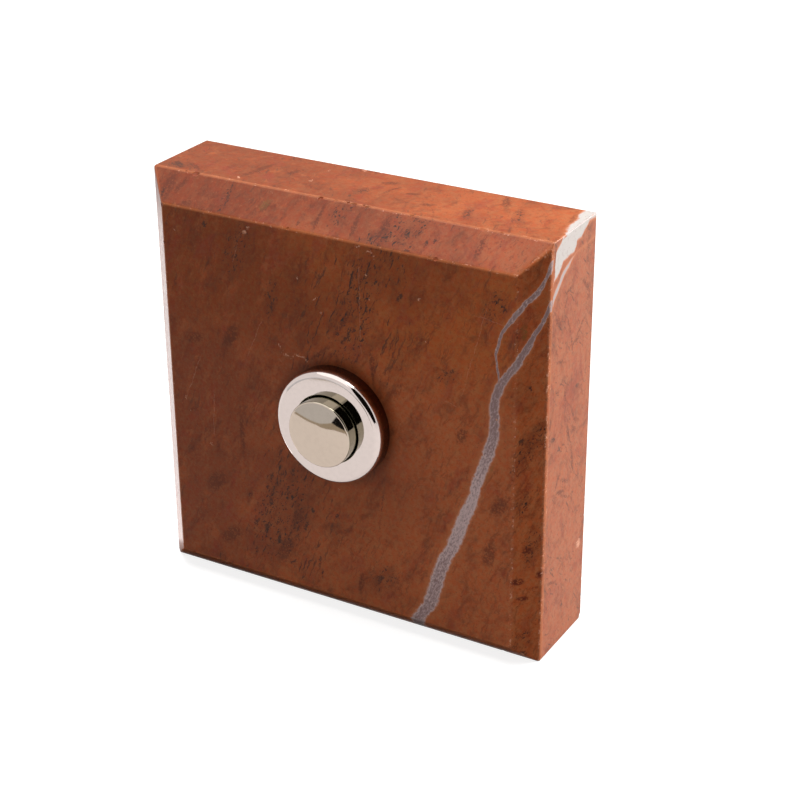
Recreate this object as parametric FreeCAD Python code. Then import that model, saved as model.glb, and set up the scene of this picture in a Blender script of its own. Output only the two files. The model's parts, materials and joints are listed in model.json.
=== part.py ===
import FreeCAD, Part
import math
import os

from FreeCAD import Vector

# Wired bell push: a polished stone block with a plated push in its front face.
# Millimetres. The origin is the centre of the back, which lies against the wall.
# X runs to the right as seen from the front, Y into the wall and Z up.

# Stone block, with one chamfer along each edge of its front face
BLOCK_WIDTH = 75.0
BLOCK_HEIGHT = 75.0
BLOCK_DEPTH = 20.0
TOP_CHAMFER_FACE = 4.6
TOP_CHAMFER_DEPTH = 4.9
RIGHT_CHAMFER_FACE = 3.8
RIGHT_CHAMFER_DEPTH = 4.6
LEFT_CHAMFER_FACE = 4.6
LEFT_CHAMFER_DEPTH = 4.9
BOTTOM_CHAMFER_FACE = 3.7
BOTTOM_CHAMFER_DEPTH = 3.6

# Hollow in the back of the block
SIDE_WALL = 9.5
HOLLOW_CORNER = 4.0

# Where the push goes through the block, from the block's centre
PUSH_X = 0.9
PUSH_Z = 0.45
STONE_HOLE_GAP = 0.35

# Bezel: a round flange and its threaded barrel, in one piece
FLANGE_OVERHANG = 2.15
BEZEL_THICKNESS = 3.45
BEZEL_EDGE_ROUND = 1.05
BARREL_WALL = 1.05
THREAD_DEPTH = 0.45
THREAD_PITCH = 1.0
THREAD_GROOVE_WIDTH = 0.8
THREAD_RUN_OUT = 1.5
LIP_LENGTH = 2.5
LIP_EDGE_ROUND = 0.15
SWITCH_STEP = 0.3

# Push button: a cup with a retaining collar and a boss for the stem
BUTTON_RADIUS = 5.9
BUTTON_GAP = 0.2
BUTTON_PROUD = 2.8
BUTTON_TRAVEL = 2.0
BUTTON_DOME = 0.4
BUTTON_EDGE_ROUND = 0.25
BUTTON_FACE_THICKNESS = 1.25
BUTTON_CUP_WALL = 1.2
COLLAR_LAP = 0.35
COLLAR_GAP = 0.15
COLLAR_THICKNESS = 1.2
STOP_GAP = 0.05
BOSS_WALL = 1.1
BOSS_LENGTH = 4.4
BOSS_FLOOR = 0.8

# Stem through the switch, and the clip at its end
STEM_RADIUS = 1.5
STEM_FIT = 0.02
STEM_RUNNING_GAP = 0.05
STEM_COLLAR_SIDE_GAP = 0.15
STEM_COLLAR_THICKNESS = 0.8
STEM_COLLAR_GAP = 0.15
STEM_TAIL = 0.5
CLIP_THICKNESS = 0.4
CLIP_SIDE_GAP = 0.2
CLIP_GROOVE_DEPTH = 0.4
CLIP_MOUTH = 1.8
CLIP_GAP = 0.03

# Rubber rings of the push
BUTTON_SEAL_SECTION = 0.95
BUTTON_SEAL_GAP = 0.05
BUTTON_SEAL_SIDE_GAP = 0.12
BUTTON_SEAL_SETBACK = 0.7
FLANGE_SEAL_SECTION = 0.7
FLANGE_SEAL_SIDE_GAP = 0.1
FLANGE_SEAL_FROM_HOLE = 0.2
SEAL_SEAT_GAP = 0.01

# Washers and nut that hold the push in the stone
FIBRE_WASHER_RIM = 4.55
FIBRE_WASHER_THICKNESS = 1.0
LOCK_WASHER_RIM = 3.35
WASHER_BORE_GAP = 0.1
LOCK_WASHER_THICKNESS = 0.8
LOCK_WASHER_TEETH = 12
LOCK_WASHER_TOOTH_LENGTH = 1.3
LOCK_WASHER_SLOT = 1.6
NUT_WALL = 1.55
NUT_THICKNESS = 2.5
NUT_CHAMFER = 0.5
THREAD_SPARE = 0.9
THREAD_GAP = 0.05

# Switch body and its base
SWITCH_GAP = 0.1
SWITCH_RIM = 1.5
CHAMBER_END_WALL = 1.05
CHAMBER_WIDTH = 4.6
BASE_NUT_CLEARANCE = 0.3
BASE_THICKNESS = 2.2
BASE_GAP = 0.2
BASE_RIB_THICKNESS = 1.0
BASE_RIB_HEIGHT = 1.6
BASE_SCREW_INSET = 1.95
BASE_SCREW_RADIUS = 0.75
BASE_SCREW_HEAD_RADIUS = 1.4
BASE_SCREW_LENGTH = 5.0
BASE_SCREW_SLOT_DEPTH = 0.5
SCREW_GAP = 0.03
SNAP_RING_WIRE = 0.5
SNAP_RING_FROM_END = 0.7
SNAP_RING_OPENING = 40.0
SNAP_RING_GAP = 0.02

# Contacts and terminals
CONTACT_FROM_END = 1.6
POST_RADIUS = 1.45
POST_PROUD = 1.4
POST_SHOULDER_RADIUS = 2.0
POST_SHOULDER_THICKNESS = 0.5
POST_FIT = 0.02
BRIDGE_SIDE_GAP = 0.4
BRIDGE_THICKNESS = 0.4
BRIDGE_STEM_GAP = 0.1
BRIDGE_TIP_RADIUS = 1.0
BRIDGE_TIP_THICKNESS = 0.4
CONTACT_OVERTRAVEL = 0.6
CONTACT_CLEARANCE = 0.03
TERMINAL_SCREW_RADIUS = 0.95
TERMINAL_SCREW_LENGTH = 3.0
TERMINAL_HEAD_RADIUS = 1.9
TERMINAL_HEAD_HEIGHT = 1.3
SCREW_SLOT_WIDTH = 0.5
TERMINAL_SLOT_DEPTH = 0.6
CLAMP_WASHER_SIDE = 3.8
CLAMP_WASHER_CORNER = 0.57
CLAMP_WASHER_THICKNESS = 0.4
WIRING_GAP = 0.6

# Springs
RETURN_SPRING_WIRE = 0.6
RETURN_SPRING_SIDE_GAP = 0.5
RETURN_SPRING_TURNS = 6
CONTACT_SPRING_WIRE = 0.28
CONTACT_SPRING_STEM_GAP = 0.25
CONTACT_SPRING_TURNS = 3
CONTACT_SPRING_LENGTH = 1.75
SPRING_END_GAP = 0.03

# Wall plate, a tray of bent steel that the block hangs on
PLATE_THICKNESS = 1.2
PLATE_SIDE_GAP = 0.3
PLATE_TOP_GAP = 0.2
PLATE_DROP = 3.5
PLATE_FLANGE_DEPTH = 9.0
PLATE_FLANGE_INSET = 6.0
WALL_SLOT_LENGTH = 9.0
WALL_SLOT_WIDTH = 4.5
WALL_SLOT_INSET = 8.7
INSULATOR_THICKNESS = 0.4
INSULATOR_MARGIN = 0.2

# Hanging pins above, and set screws in threaded inserts below
FIXING_INSET = 10.0
PIN_RADIUS = 1.5
PIN_LENGTH = 2.8
PIN_HEAD_RADIUS = 2.2
PIN_HEAD_THICKNESS = 0.8
PIN_FIT = 0.02
PIN_HOLE_GAP = 0.2
PIN_HOLE_SPARE = 0.4
PIN_FROM_WALL = 5.0
SET_SCREW_RADIUS = 2.0
SET_SCREW_LENGTH = 11.0
SET_SCREW_SOCKET = 2.0
SET_SCREW_SOCKET_DEPTH = 2.2
SET_SCREW_FROM_WALL = 6.0
SET_SCREW_HOLE_GAP = 0.23
INSERT_RADIUS = 3.0
INSERT_LENGTH = 8.0
INSERT_SETBACK = 0.6
INSERT_BOND = 0.02
INSERT_RING_COUNT = 5
INSERT_RING_DEPTH = 0.25
INSERT_RING_WIDTH = 0.5

# Cable inlet: a rubber grommet in a dished part of the wall plate
INLET_INSET = 13.7
INLET_RISE = 10.5
INLET_RADIUS = 2.75
DISH_DEPTH = 1.3
DISH_RADIUS = 7.5
GROMMET_NECK_RADIUS = 4.5
GROMMET_LIP_RADIUS = 6.2
GROMMET_LIP_THICKNESS = 1.1
GROMMET_FIT = 0.02

# Foam cord that seals the block against the wall
SEAL_WIDTH = 2.5
SEAL_DEPTH = 1.5
SEAL_GAP = 0.05

# How far a cutting shape runs past what it cuts
OVERCUT = 1.0

# Places along Y, from the front of the block and from the wall
FRONT = -BLOCK_DEPTH
BEZEL_FRONT = FRONT - BEZEL_THICKNESS
BUTTON_FRONT = BEZEL_FRONT - BUTTON_PROUD
LIP_REAR = BEZEL_FRONT + LIP_LENGTH
COLLAR_FRONT = LIP_REAR + STOP_GAP
COLLAR_REAR = COLLAR_FRONT + COLLAR_THICKNESS
SWITCH_FRONT = COLLAR_REAR + BUTTON_TRAVEL + STOP_GAP
SPRING_SEAT = SWITCH_FRONT + SWITCH_RIM
CUP_FLOOR = BUTTON_FRONT + BUTTON_FACE_THICKNESS
BOSS_REAR = CUP_FLOOR + BOSS_LENGTH

PLATE_FRONT = -PLATE_THICKNESS
INSULATOR_FRONT = PLATE_FRONT - INSULATOR_THICKNESS
TERMINAL_HEAD_REAR = INSULATOR_FRONT - WIRING_GAP
TERMINAL_HEAD_FRONT = TERMINAL_HEAD_REAR - TERMINAL_HEAD_HEIGHT
POST_REAR = TERMINAL_HEAD_FRONT - CLAMP_WASHER_THICKNESS
BASE_REAR = POST_REAR - POST_SHOULDER_THICKNESS
BASE_FRONT = BASE_REAR - BASE_THICKNESS
BARREL_REAR = BASE_FRONT - BASE_GAP
NUT_REAR = BARREL_REAR - THREAD_SPARE
NUT_FRONT = NUT_REAR - NUT_THICKNESS
LOCK_WASHER_FRONT = NUT_FRONT - LOCK_WASHER_THICKNESS
HOLLOW_FLOOR = LOCK_WASHER_FRONT - FIBRE_WASHER_THICKNESS
SNAP_RING_Y = BARREL_REAR - SNAP_RING_FROM_END - SNAP_RING_WIRE / 2
SWITCH_SHOULDER = SNAP_RING_Y - SNAP_RING_WIRE / 2 - SNAP_RING_GAP

POST_FRONT = BASE_FRONT - POST_PROUD
BRIDGE_TRAVEL = BUTTON_TRAVEL - CONTACT_OVERTRAVEL
TIP_REAR = POST_FRONT - CONTACT_CLEARANCE - BRIDGE_TRAVEL
BRIDGE_REAR = TIP_REAR - BRIDGE_TIP_THICKNESS
BRIDGE_FRONT = BRIDGE_REAR - BRIDGE_THICKNESS
CLIP_FRONT = BRIDGE_REAR + CLIP_GAP
CLIP_REAR = CLIP_FRONT + CLIP_THICKNESS
STEM_REAR = CLIP_REAR + STEM_TAIL
STEM_COLLAR_REAR = BRIDGE_FRONT - CONTACT_SPRING_LENGTH
STEM_COLLAR_FRONT = STEM_COLLAR_REAR - STEM_COLLAR_THICKNESS
CHAMBER_FRONT = STEM_COLLAR_FRONT - STEM_COLLAR_GAP

# Radii of the push, each outside the one before
LIP_BORE_RADIUS = BUTTON_RADIUS + BUTTON_GAP
COLLAR_RADIUS = LIP_BORE_RADIUS + COLLAR_LAP
FRONT_CHAMBER_RADIUS = COLLAR_RADIUS + COLLAR_GAP
REAR_CHAMBER_RADIUS = FRONT_CHAMBER_RADIUS + SWITCH_STEP
THREAD_RADIUS = REAR_CHAMBER_RADIUS + BARREL_WALL
BEZEL_RADIUS = THREAD_RADIUS + FLANGE_OVERHANG
STONE_HOLE_RADIUS = THREAD_RADIUS + STONE_HOLE_GAP
LOCK_WASHER_RADIUS = THREAD_RADIUS + LOCK_WASHER_RIM
FIBRE_WASHER_RADIUS = THREAD_RADIUS + FIBRE_WASHER_RIM
WASHER_BORE_RADIUS = THREAD_RADIUS + WASHER_BORE_GAP
NUT_HALF_FLATS = THREAD_RADIUS + NUT_WALL

# Radii and places inside the push
BUTTON_CUP_RADIUS = BUTTON_RADIUS - BUTTON_CUP_WALL
BOSS_RADIUS = STEM_RADIUS + BOSS_WALL
RETURN_SPRING_RADIUS = BUTTON_CUP_RADIUS - RETURN_SPRING_SIDE_GAP - RETURN_SPRING_WIRE / 2
SWITCH_RADIUS = REAR_CHAMBER_RADIUS - SWITCH_GAP
SWITCH_TAIL_RADIUS = REAR_CHAMBER_RADIUS - SNAP_RING_WIRE / 2 - SWITCH_GAP
BASE_RADIUS = THREAD_RADIUS - THREAD_DEPTH - BASE_NUT_CLEARANCE
BASE_SCREW_OFFSET = SWITCH_TAIL_RADIUS - BASE_SCREW_INSET
CHAMBER_HALF_LENGTH = SWITCH_TAIL_RADIUS - CHAMBER_END_WALL
CONTACT_OFFSET = CHAMBER_HALF_LENGTH - CONTACT_FROM_END
STEM_COLLAR_RADIUS = CHAMBER_WIDTH / 2 - STEM_COLLAR_SIDE_GAP
CLIP_RADIUS = CHAMBER_WIDTH / 2 - CLIP_SIDE_GAP
CONTACT_SPRING_RADIUS = STEM_RADIUS + CONTACT_SPRING_STEM_GAP + CONTACT_SPRING_WIRE / 2

# Widths and heights that follow from the sizes above
HALF_WIDTH = BLOCK_WIDTH / 2
HALF_HEIGHT = BLOCK_HEIGHT / 2
HOLLOW_HALF_WIDTH = HALF_WIDTH - SIDE_WALL
HOLLOW_HALF_HEIGHT = HALF_HEIGHT - SIDE_WALL
PLATE_HALF_WIDTH = HOLLOW_HALF_WIDTH - PLATE_SIDE_GAP
PLATE_TOP = HOLLOW_HALF_HEIGHT - PLATE_TOP_GAP
PLATE_BOTTOM = -HOLLOW_HALF_HEIGHT + PLATE_DROP
PLATE_FLANGE_HALF_WIDTH = PLATE_HALF_WIDTH - PLATE_FLANGE_INSET
WALL_SLOT_X = PLATE_HALF_WIDTH - WALL_SLOT_INSET
FIXING_X = HOLLOW_HALF_WIDTH - FIXING_INSET
INLET_X = -PLATE_HALF_WIDTH + INLET_INSET
INLET_Z = PLATE_BOTTOM + INLET_RISE
INSULATOR_RADIUS = BASE_RADIUS + INSULATOR_MARGIN
SEAL_LINE_X = (HALF_WIDTH + HOLLOW_HALF_WIDTH) / 2
SEAL_LINE_Z = (HALF_HEIGHT + HOLLOW_HALF_HEIGHT) / 2

ALONG_Y = Vector(0, 1, 0)
ALONG_Z = Vector(0, 0, 1)


# Basic shapes

def rod(radius, start, end, x=PUSH_X, z=PUSH_Z):
    """A round bar along Y, on the push's axis unless told otherwise."""
    return Part.makeCylinder(radius, end - start, Vector(x, start, z), ALONG_Y)


def ring(outer, inner, start, end, x=PUSH_X, z=PUSH_Z):
    """A bar along Y with a hole right through it."""
    hole = rod(inner, start - OVERCUT, end + OVERCUT, x, z)
    return rod(outer, start, end, x, z).cut(hole)


def post(radius, bottom, top, x, y):
    """A round bar along Z."""
    return Part.makeCylinder(radius, top - bottom, Vector(x, y, bottom), ALONG_Z)


def cone(start_radius, end_radius, start, end, x=PUSH_X, z=PUSH_Z):
    """A truncated cone along Y."""
    return Part.makeCone(start_radius, end_radius, end - start, Vector(x, start, z), ALONG_Y)


def rubber_ring(centre_radius, section, y):
    """A ring of round section about the push's axis."""
    return Part.makeTorus(centre_radius, section / 2, Vector(PUSH_X, y, PUSH_Z), ALONG_Y)


def slab(low, high):
    """A box from its lowest to its highest corner."""
    size = high - low
    return Part.makeBox(size.x, size.y, size.z, low)


def rounded_bar(half_x, half_z, corner, start, end, x=0.0, z=0.0):
    """A bar along Y whose section is a rectangle with round corners."""
    bar = slab(Vector(x - half_x, start, z - half_z), Vector(x + half_x, end, z + half_z))
    corners = [edge for edge in bar.Edges if runs_along(edge, ALONG_Y)]
    return bar.makeFillet(corner, corners)


def slot_bar(half_length, half_width, start, end, x=0.0, z=0.0):
    """A bar along Y whose section is a slot with round ends, lying along X."""
    straight = half_length - half_width
    bar = slab(Vector(x - straight, start, z - half_width),
               Vector(x + straight, end, z + half_width))
    for side in (-1, 1):
        bar = bar.fuse(rod(half_width, start, end, x + side * straight, z))
    return bar.removeSplitter()


def hexagon_bar(across_flats, start, length, direction):
    """A six-sided bar from a point along a direction."""
    corner_radius = across_flats / math.sqrt(3)
    side = Vector(1, 0, 0)
    up = direction.cross(side)
    corners = []
    for step in range(7):
        angle = math.radians(60 * step)
        corners.append(start + side * (corner_radius * math.cos(angle))
                       + up * (corner_radius * math.sin(angle)))
    return Part.Face(Part.makePolygon(corners)).extrude(direction * length)


def runs_along(edge, direction):
    """Whether a straight edge lies along a direction."""
    span = edge.Vertexes[-1].Point - edge.Vertexes[0].Point
    return span.Length > 0 and span.cross(direction).Length < 1e-6


def round_rim(shape, radius, rim_radius, y):
    """Round the circular edge of one radius that lies at one place along Y."""
    rims = []
    for edge in shape.Edges:
        curve = edge.Curve
        if isinstance(curve, Part.Circle) and abs(curve.Radius - rim_radius) < 1e-6:
            if abs(curve.Center.y - y) < 1e-6:
                rims.append(edge)
    return shape.makeFillet(radius, rims)


def without(shape, *cutters):
    """A shape with each of the cutters taken out of it."""
    for cutter in cutters:
        shape = shape.cut(cutter)
    return shape


def at_angles(shape, count):
    """Copies of a shape at equal angles about the push's axis."""
    copies = []
    for step in range(count):
        copy = shape.copy()
        copy.rotate(Vector(PUSH_X, 0, PUSH_Z), ALONG_Y, 360.0 * step / count)
        copies.append(copy)
    return copies


# Stone block

def chamfer_wedge(face_width, depth, half_span, outward):
    """What one chamfer takes off the front edge on the side that faces outward."""
    along = ALONG_Y.cross(outward) * (max(BLOCK_WIDTH, BLOCK_HEIGHT) + 2 * OVERCUT)
    slope = outward * face_width + ALONG_Y * depth
    on_face = outward * (half_span - face_width) + ALONG_Y * FRONT
    low = on_face - slope
    high = on_face + slope * 2
    far = high - ALONG_Y * (high.y - low.y)
    section = Part.Face(Part.makePolygon([low, high, far, low]))
    section.translate(along * -0.5)
    return section.extrude(along)


def stone_block():
    """The block, with its chamfers, hollow and holes."""
    low = Vector(-HALF_WIDTH, FRONT, -HALF_HEIGHT)
    high = Vector(HALF_WIDTH, 0, HALF_HEIGHT)
    chamfers = (
        (TOP_CHAMFER_FACE, TOP_CHAMFER_DEPTH, HALF_HEIGHT, Vector(0, 0, 1)),
        (RIGHT_CHAMFER_FACE, RIGHT_CHAMFER_DEPTH, HALF_WIDTH, Vector(1, 0, 0)),
        (LEFT_CHAMFER_FACE, LEFT_CHAMFER_DEPTH, HALF_WIDTH, Vector(-1, 0, 0)),
        (BOTTOM_CHAMFER_FACE, BOTTOM_CHAMFER_DEPTH, HALF_HEIGHT, Vector(0, 0, -1)),
    )
    block = slab(low, high)
    for chamfer in chamfers:
        block = block.cut(chamfer_wedge(*chamfer))
    hollow = rounded_bar(HOLLOW_HALF_WIDTH, HOLLOW_HALF_HEIGHT, HOLLOW_CORNER,
                         HOLLOW_FLOOR, OVERCUT)
    push_hole = rod(STONE_HOLE_RADIUS, FRONT - OVERCUT, HOLLOW_FLOOR + OVERCUT)
    block = without(block, hollow, push_hole, seal_loop(SEAL_GAP, OVERCUT))
    for side in (-1, 1):
        pin_hole = post(PIN_RADIUS + PIN_HOLE_GAP, HOLLOW_HALF_HEIGHT - OVERCUT,
                        PLATE_TOP + PIN_LENGTH + PIN_HOLE_SPARE,
                        side * FIXING_X, -PIN_FROM_WALL)
        screw_hole = post(SET_SCREW_RADIUS + SET_SCREW_HOLE_GAP,
                          -HALF_HEIGHT - OVERCUT, -HOLLOW_HALF_HEIGHT + OVERCUT,
                          side * FIXING_X, -SET_SCREW_FROM_WALL)
        insert_hole = post(INSERT_RADIUS + INSERT_BOND, -HALF_HEIGHT - OVERCUT,
                           -HALF_HEIGHT + INSERT_SETBACK + INSERT_LENGTH,
                           side * FIXING_X, -SET_SCREW_FROM_WALL)
        block = without(block, pin_hole, screw_hole, insert_hole)
    return block


def seal_loop(gap, proud):
    """The square loop of the foam cord, or of its groove, in the block's back."""
    half = SEAL_WIDTH / 2 + gap
    corner = HOLLOW_CORNER + SIDE_WALL / 2
    front = -SEAL_DEPTH - gap
    outside = rounded_bar(SEAL_LINE_X + half, SEAL_LINE_Z + half, corner + half,
                          front, proud)
    inside = rounded_bar(SEAL_LINE_X - half, SEAL_LINE_Z - half, corner - half,
                         front - OVERCUT, proud + OVERCUT)
    return outside.cut(inside)


def wall_seal():
    """The foam cord in its groove, pressed flush with the block's back."""
    return seal_loop(0.0, 0.0)


# Push

def thread_groove(y):
    """One V-shaped groove round the barrel."""
    width = THREAD_GROOVE_WIDTH
    root = Vector(THREAD_RADIUS - THREAD_DEPTH, y, 0)
    outside = THREAD_RADIUS + THREAD_DEPTH
    points = [Vector(outside, y - width, 0), root, Vector(outside, y + width, 0)]
    face = Part.Face(Part.makePolygon(points + points[:1]))
    face.translate(Vector(PUSH_X, 0, PUSH_Z))
    return face.revolve(Vector(PUSH_X, 0, PUSH_Z), ALONG_Y, 360)


def bezel():
    """Flange and barrel in one piece, with its bores, grooves and thread."""
    flange = rod(BEZEL_RADIUS, BEZEL_FRONT, FRONT)
    flange = round_rim(flange, BEZEL_EDGE_ROUND, BEZEL_RADIUS, BEZEL_FRONT)
    body = flange.fuse(rod(THREAD_RADIUS, FRONT, BARREL_REAR))
    body = without(
        body,
        rod(LIP_BORE_RADIUS, BEZEL_FRONT - OVERCUT, LIP_REAR + OVERCUT),
        rod(FRONT_CHAMBER_RADIUS, LIP_REAR, SWITCH_FRONT + OVERCUT),
        rod(REAR_CHAMBER_RADIUS, SWITCH_FRONT, BARREL_REAR + OVERCUT),
        button_seal_groove(),
        flange_seal_groove(),
        ring(REAR_CHAMBER_RADIUS + SNAP_RING_WIRE / 2 + SNAP_RING_GAP, LIP_BORE_RADIUS,
             SNAP_RING_Y - SNAP_RING_WIRE / 2 - SNAP_RING_GAP,
             SNAP_RING_Y + SNAP_RING_WIRE / 2 + SNAP_RING_GAP),
    )
    body = round_rim(body, LIP_EDGE_ROUND, LIP_BORE_RADIUS, BEZEL_FRONT)
    first = FRONT + THREAD_RUN_OUT
    for step in range(int((BARREL_REAR - first) / THREAD_PITCH)):
        body = body.cut(thread_groove(first + step * THREAD_PITCH))
    return body


def button_seal_place():
    """Centre radius and place along Y of the ring round the button."""
    radius = BUTTON_RADIUS + BUTTON_SEAL_GAP + BUTTON_SEAL_SECTION / 2
    y = BEZEL_FRONT + BUTTON_SEAL_SETBACK + BUTTON_SEAL_SIDE_GAP + BUTTON_SEAL_SECTION / 2
    return radius, y


def button_seal_groove():
    """Groove in the lip that holds the ring round the button."""
    radius, y = button_seal_place()
    half = BUTTON_SEAL_SECTION / 2
    return rod(radius + half + SEAL_SEAT_GAP, y - half - BUTTON_SEAL_SIDE_GAP,
               y + half + BUTTON_SEAL_SIDE_GAP)


def button_seal():
    """Rubber ring round the button."""
    radius, y = button_seal_place()
    return rubber_ring(radius, BUTTON_SEAL_SECTION, y)


def flange_seal_place():
    """Centre radius and depth of the ring under the flange."""
    half = FLANGE_SEAL_SECTION / 2
    radius = STONE_HOLE_RADIUS + FLANGE_SEAL_FROM_HOLE + FLANGE_SEAL_SIDE_GAP + half
    return radius, FRONT - SEAL_SEAT_GAP - half


def flange_seal_groove():
    """Groove in the flange's back that holds the ring against the stone."""
    radius, y = flange_seal_place()
    half = FLANGE_SEAL_SECTION / 2
    side = half + FLANGE_SEAL_SIDE_GAP
    return ring(radius + side, radius - side, y - half - SEAL_SEAT_GAP, FRONT)


def flange_seal():
    """Rubber ring between the flange and the stone."""
    radius, y = flange_seal_place()
    return rubber_ring(radius, FLANGE_SEAL_SECTION, y)


def push_button():
    """The button: a domed cup with a collar behind the lip and a boss inside."""
    rim = BUTTON_FRONT + BUTTON_DOME
    dome_radius = (BUTTON_RADIUS ** 2 + BUTTON_DOME ** 2) / (2 * BUTTON_DOME)
    ball = Part.makeSphere(dome_radius, Vector(PUSH_X, BUTTON_FRONT + dome_radius, PUSH_Z))
    solid = rod(BUTTON_RADIUS, BUTTON_FRONT - OVERCUT, COLLAR_FRONT).common(ball)
    solid = solid.fuse(rod(COLLAR_RADIUS, COLLAR_FRONT, COLLAR_REAR))
    solid = round_rim(solid.removeSplitter(), BUTTON_EDGE_ROUND, BUTTON_RADIUS, rim)
    solid = solid.cut(rod(BUTTON_CUP_RADIUS, CUP_FLOOR, COLLAR_REAR + OVERCUT))
    solid = solid.fuse(rod(BOSS_RADIUS, CUP_FLOOR, BOSS_REAR))
    bore = rod(STEM_RADIUS + STEM_FIT, CUP_FLOOR + BOSS_FLOOR - STEM_FIT, BOSS_REAR + OVERCUT)
    return solid.cut(bore)


def plunger_stem():
    """The stem from the button's boss through the switch to the clip."""
    stem = rod(STEM_RADIUS, CUP_FLOOR + BOSS_FLOOR, STEM_REAR)
    stem = stem.fuse(rod(STEM_COLLAR_RADIUS, STEM_COLLAR_FRONT, STEM_COLLAR_REAR))
    groove = ring(STEM_RADIUS + OVERCUT, STEM_RADIUS - CLIP_GROOVE_DEPTH,
                  CLIP_FRONT - STEM_FIT, CLIP_REAR + STEM_FIT)
    return stem.cut(groove)


def stem_clip():
    """The clip that keeps the contact bridge on the stem."""
    inner = STEM_RADIUS - CLIP_GROOVE_DEPTH + STEM_FIT
    clip = ring(CLIP_RADIUS, inner, CLIP_FRONT, CLIP_REAR)
    mouth = slab(Vector(PUSH_X - CLIP_MOUTH / 2, CLIP_FRONT - OVERCUT, PUSH_Z - CLIP_RADIUS * 2),
                 Vector(PUSH_X + CLIP_MOUTH / 2, CLIP_REAR + OVERCUT, PUSH_Z))
    return clip.cut(mouth)


def fibre_washer():
    """The soft washer against the stone."""
    return ring(FIBRE_WASHER_RADIUS, WASHER_BORE_RADIUS, HOLLOW_FLOOR, LOCK_WASHER_FRONT)


def lock_washer():
    """The toothed washer under the nut."""
    bore = WASHER_BORE_RADIUS
    washer = ring(LOCK_WASHER_RADIUS, bore, LOCK_WASHER_FRONT, NUT_FRONT)
    half = LOCK_WASHER_SLOT / 2
    gap = slab(Vector(PUSH_X + bore - OVERCUT, LOCK_WASHER_FRONT - OVERCUT, PUSH_Z - half),
               Vector(PUSH_X + bore + LOCK_WASHER_TOOTH_LENGTH, NUT_FRONT + OVERCUT,
                      PUSH_Z + half))
    return without(washer, *at_angles(gap, LOCK_WASHER_TEETH))


def ring_nut():
    """The hexagon nut, with the corners of both faces turned off."""
    start = Vector(PUSH_X, NUT_FRONT, PUSH_Z)
    flat = NUT_HALF_FLATS
    blank = hexagon_bar(2 * flat, start, NUT_THICKNESS, ALONG_Y)
    corner = 2 * flat / math.sqrt(3)
    slope = (corner - flat) / NUT_CHAMFER
    reach = flat + slope * NUT_THICKNESS
    turned = cone(flat, reach, NUT_FRONT, NUT_REAR)
    turned = turned.common(cone(reach, flat, NUT_FRONT, NUT_REAR))
    bore = rod(THREAD_RADIUS + THREAD_GAP, NUT_FRONT - OVERCUT, NUT_REAR + OVERCUT)
    return blank.common(turned).cut(bore)


def snap_ring():
    """The open wire ring that keeps the switch in the barrel."""
    sweep = 360 - SNAP_RING_OPENING
    return Part.makeTorus(REAR_CHAMBER_RADIUS, SNAP_RING_WIRE / 2,
                          Vector(PUSH_X, SNAP_RING_Y, PUSH_Z), ALONG_Y, -180, 180, sweep)


# Switch

def screw_places():
    """Where the two screws of the base stand, above and below the axis."""
    return [(PUSH_X, PUSH_Z + side * BASE_SCREW_OFFSET) for side in (-1, 1)]


def contact_places():
    """Where the two contacts stand, left and right of the axis."""
    return [(PUSH_X + side * CONTACT_OFFSET, PUSH_Z) for side in (-1, 1)]


def switch_body():
    """The moulded body, with its spring pocket, stem guide and contact chamber."""
    body = rod(SWITCH_RADIUS, SWITCH_FRONT, SWITCH_SHOULDER)
    body = body.fuse(rod(SWITCH_TAIL_RADIUS, SWITCH_SHOULDER, BASE_FRONT))
    body = without(
        body,
        rod(BUTTON_CUP_RADIUS, SWITCH_FRONT - OVERCUT, SPRING_SEAT),
        rod(STEM_RADIUS + STEM_RUNNING_GAP, SPRING_SEAT - OVERCUT, CHAMBER_FRONT + OVERCUT),
        slot_bar(CHAMBER_HALF_LENGTH, CHAMBER_WIDTH / 2, CHAMBER_FRONT,
                 BASE_FRONT + OVERCUT, PUSH_X, PUSH_Z),
    )
    pilot_end = BASE_REAR - BASE_SCREW_LENGTH - SCREW_GAP
    for x, z in screw_places():
        pilot = rod(BASE_SCREW_RADIUS + SCREW_GAP, pilot_end, BASE_FRONT + OVERCUT, x, z)
        body = body.cut(pilot)
    return body


def switch_base():
    """The base that closes the chamber and carries the two contact posts."""
    base = rod(BASE_RADIUS, BASE_FRONT, BASE_REAR)
    rib = slab(Vector(PUSH_X - BASE_RIB_THICKNESS / 2, BASE_REAR,
                      PUSH_Z - BASE_SCREW_OFFSET + BASE_SCREW_HEAD_RADIUS + BASE_GAP),
               Vector(PUSH_X + BASE_RIB_THICKNESS / 2, BASE_REAR + BASE_RIB_HEIGHT,
                      PUSH_Z + BASE_SCREW_OFFSET - BASE_SCREW_HEAD_RADIUS - BASE_GAP))
    base = base.fuse(rib)
    for x, z in contact_places():
        hole = rod(POST_RADIUS + POST_FIT, BASE_FRONT - OVERCUT, BASE_REAR + OVERCUT, x, z)
        base = base.cut(hole)
    for x, z in screw_places():
        base = without(base, *screw_shapes(SCREW_GAP, x, z))
    return base


def screw_shapes(gap, x, z):
    """Shank and countersunk head of a base screw, each larger by a gap."""
    head_depth = BASE_SCREW_HEAD_RADIUS - BASE_SCREW_RADIUS
    shank = rod(BASE_SCREW_RADIUS + gap, BASE_REAR - BASE_SCREW_LENGTH, BASE_REAR, x, z)
    head = cone(BASE_SCREW_RADIUS + gap, BASE_SCREW_HEAD_RADIUS + gap,
                BASE_REAR - head_depth, BASE_REAR, x, z)
    return shank, head


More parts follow.
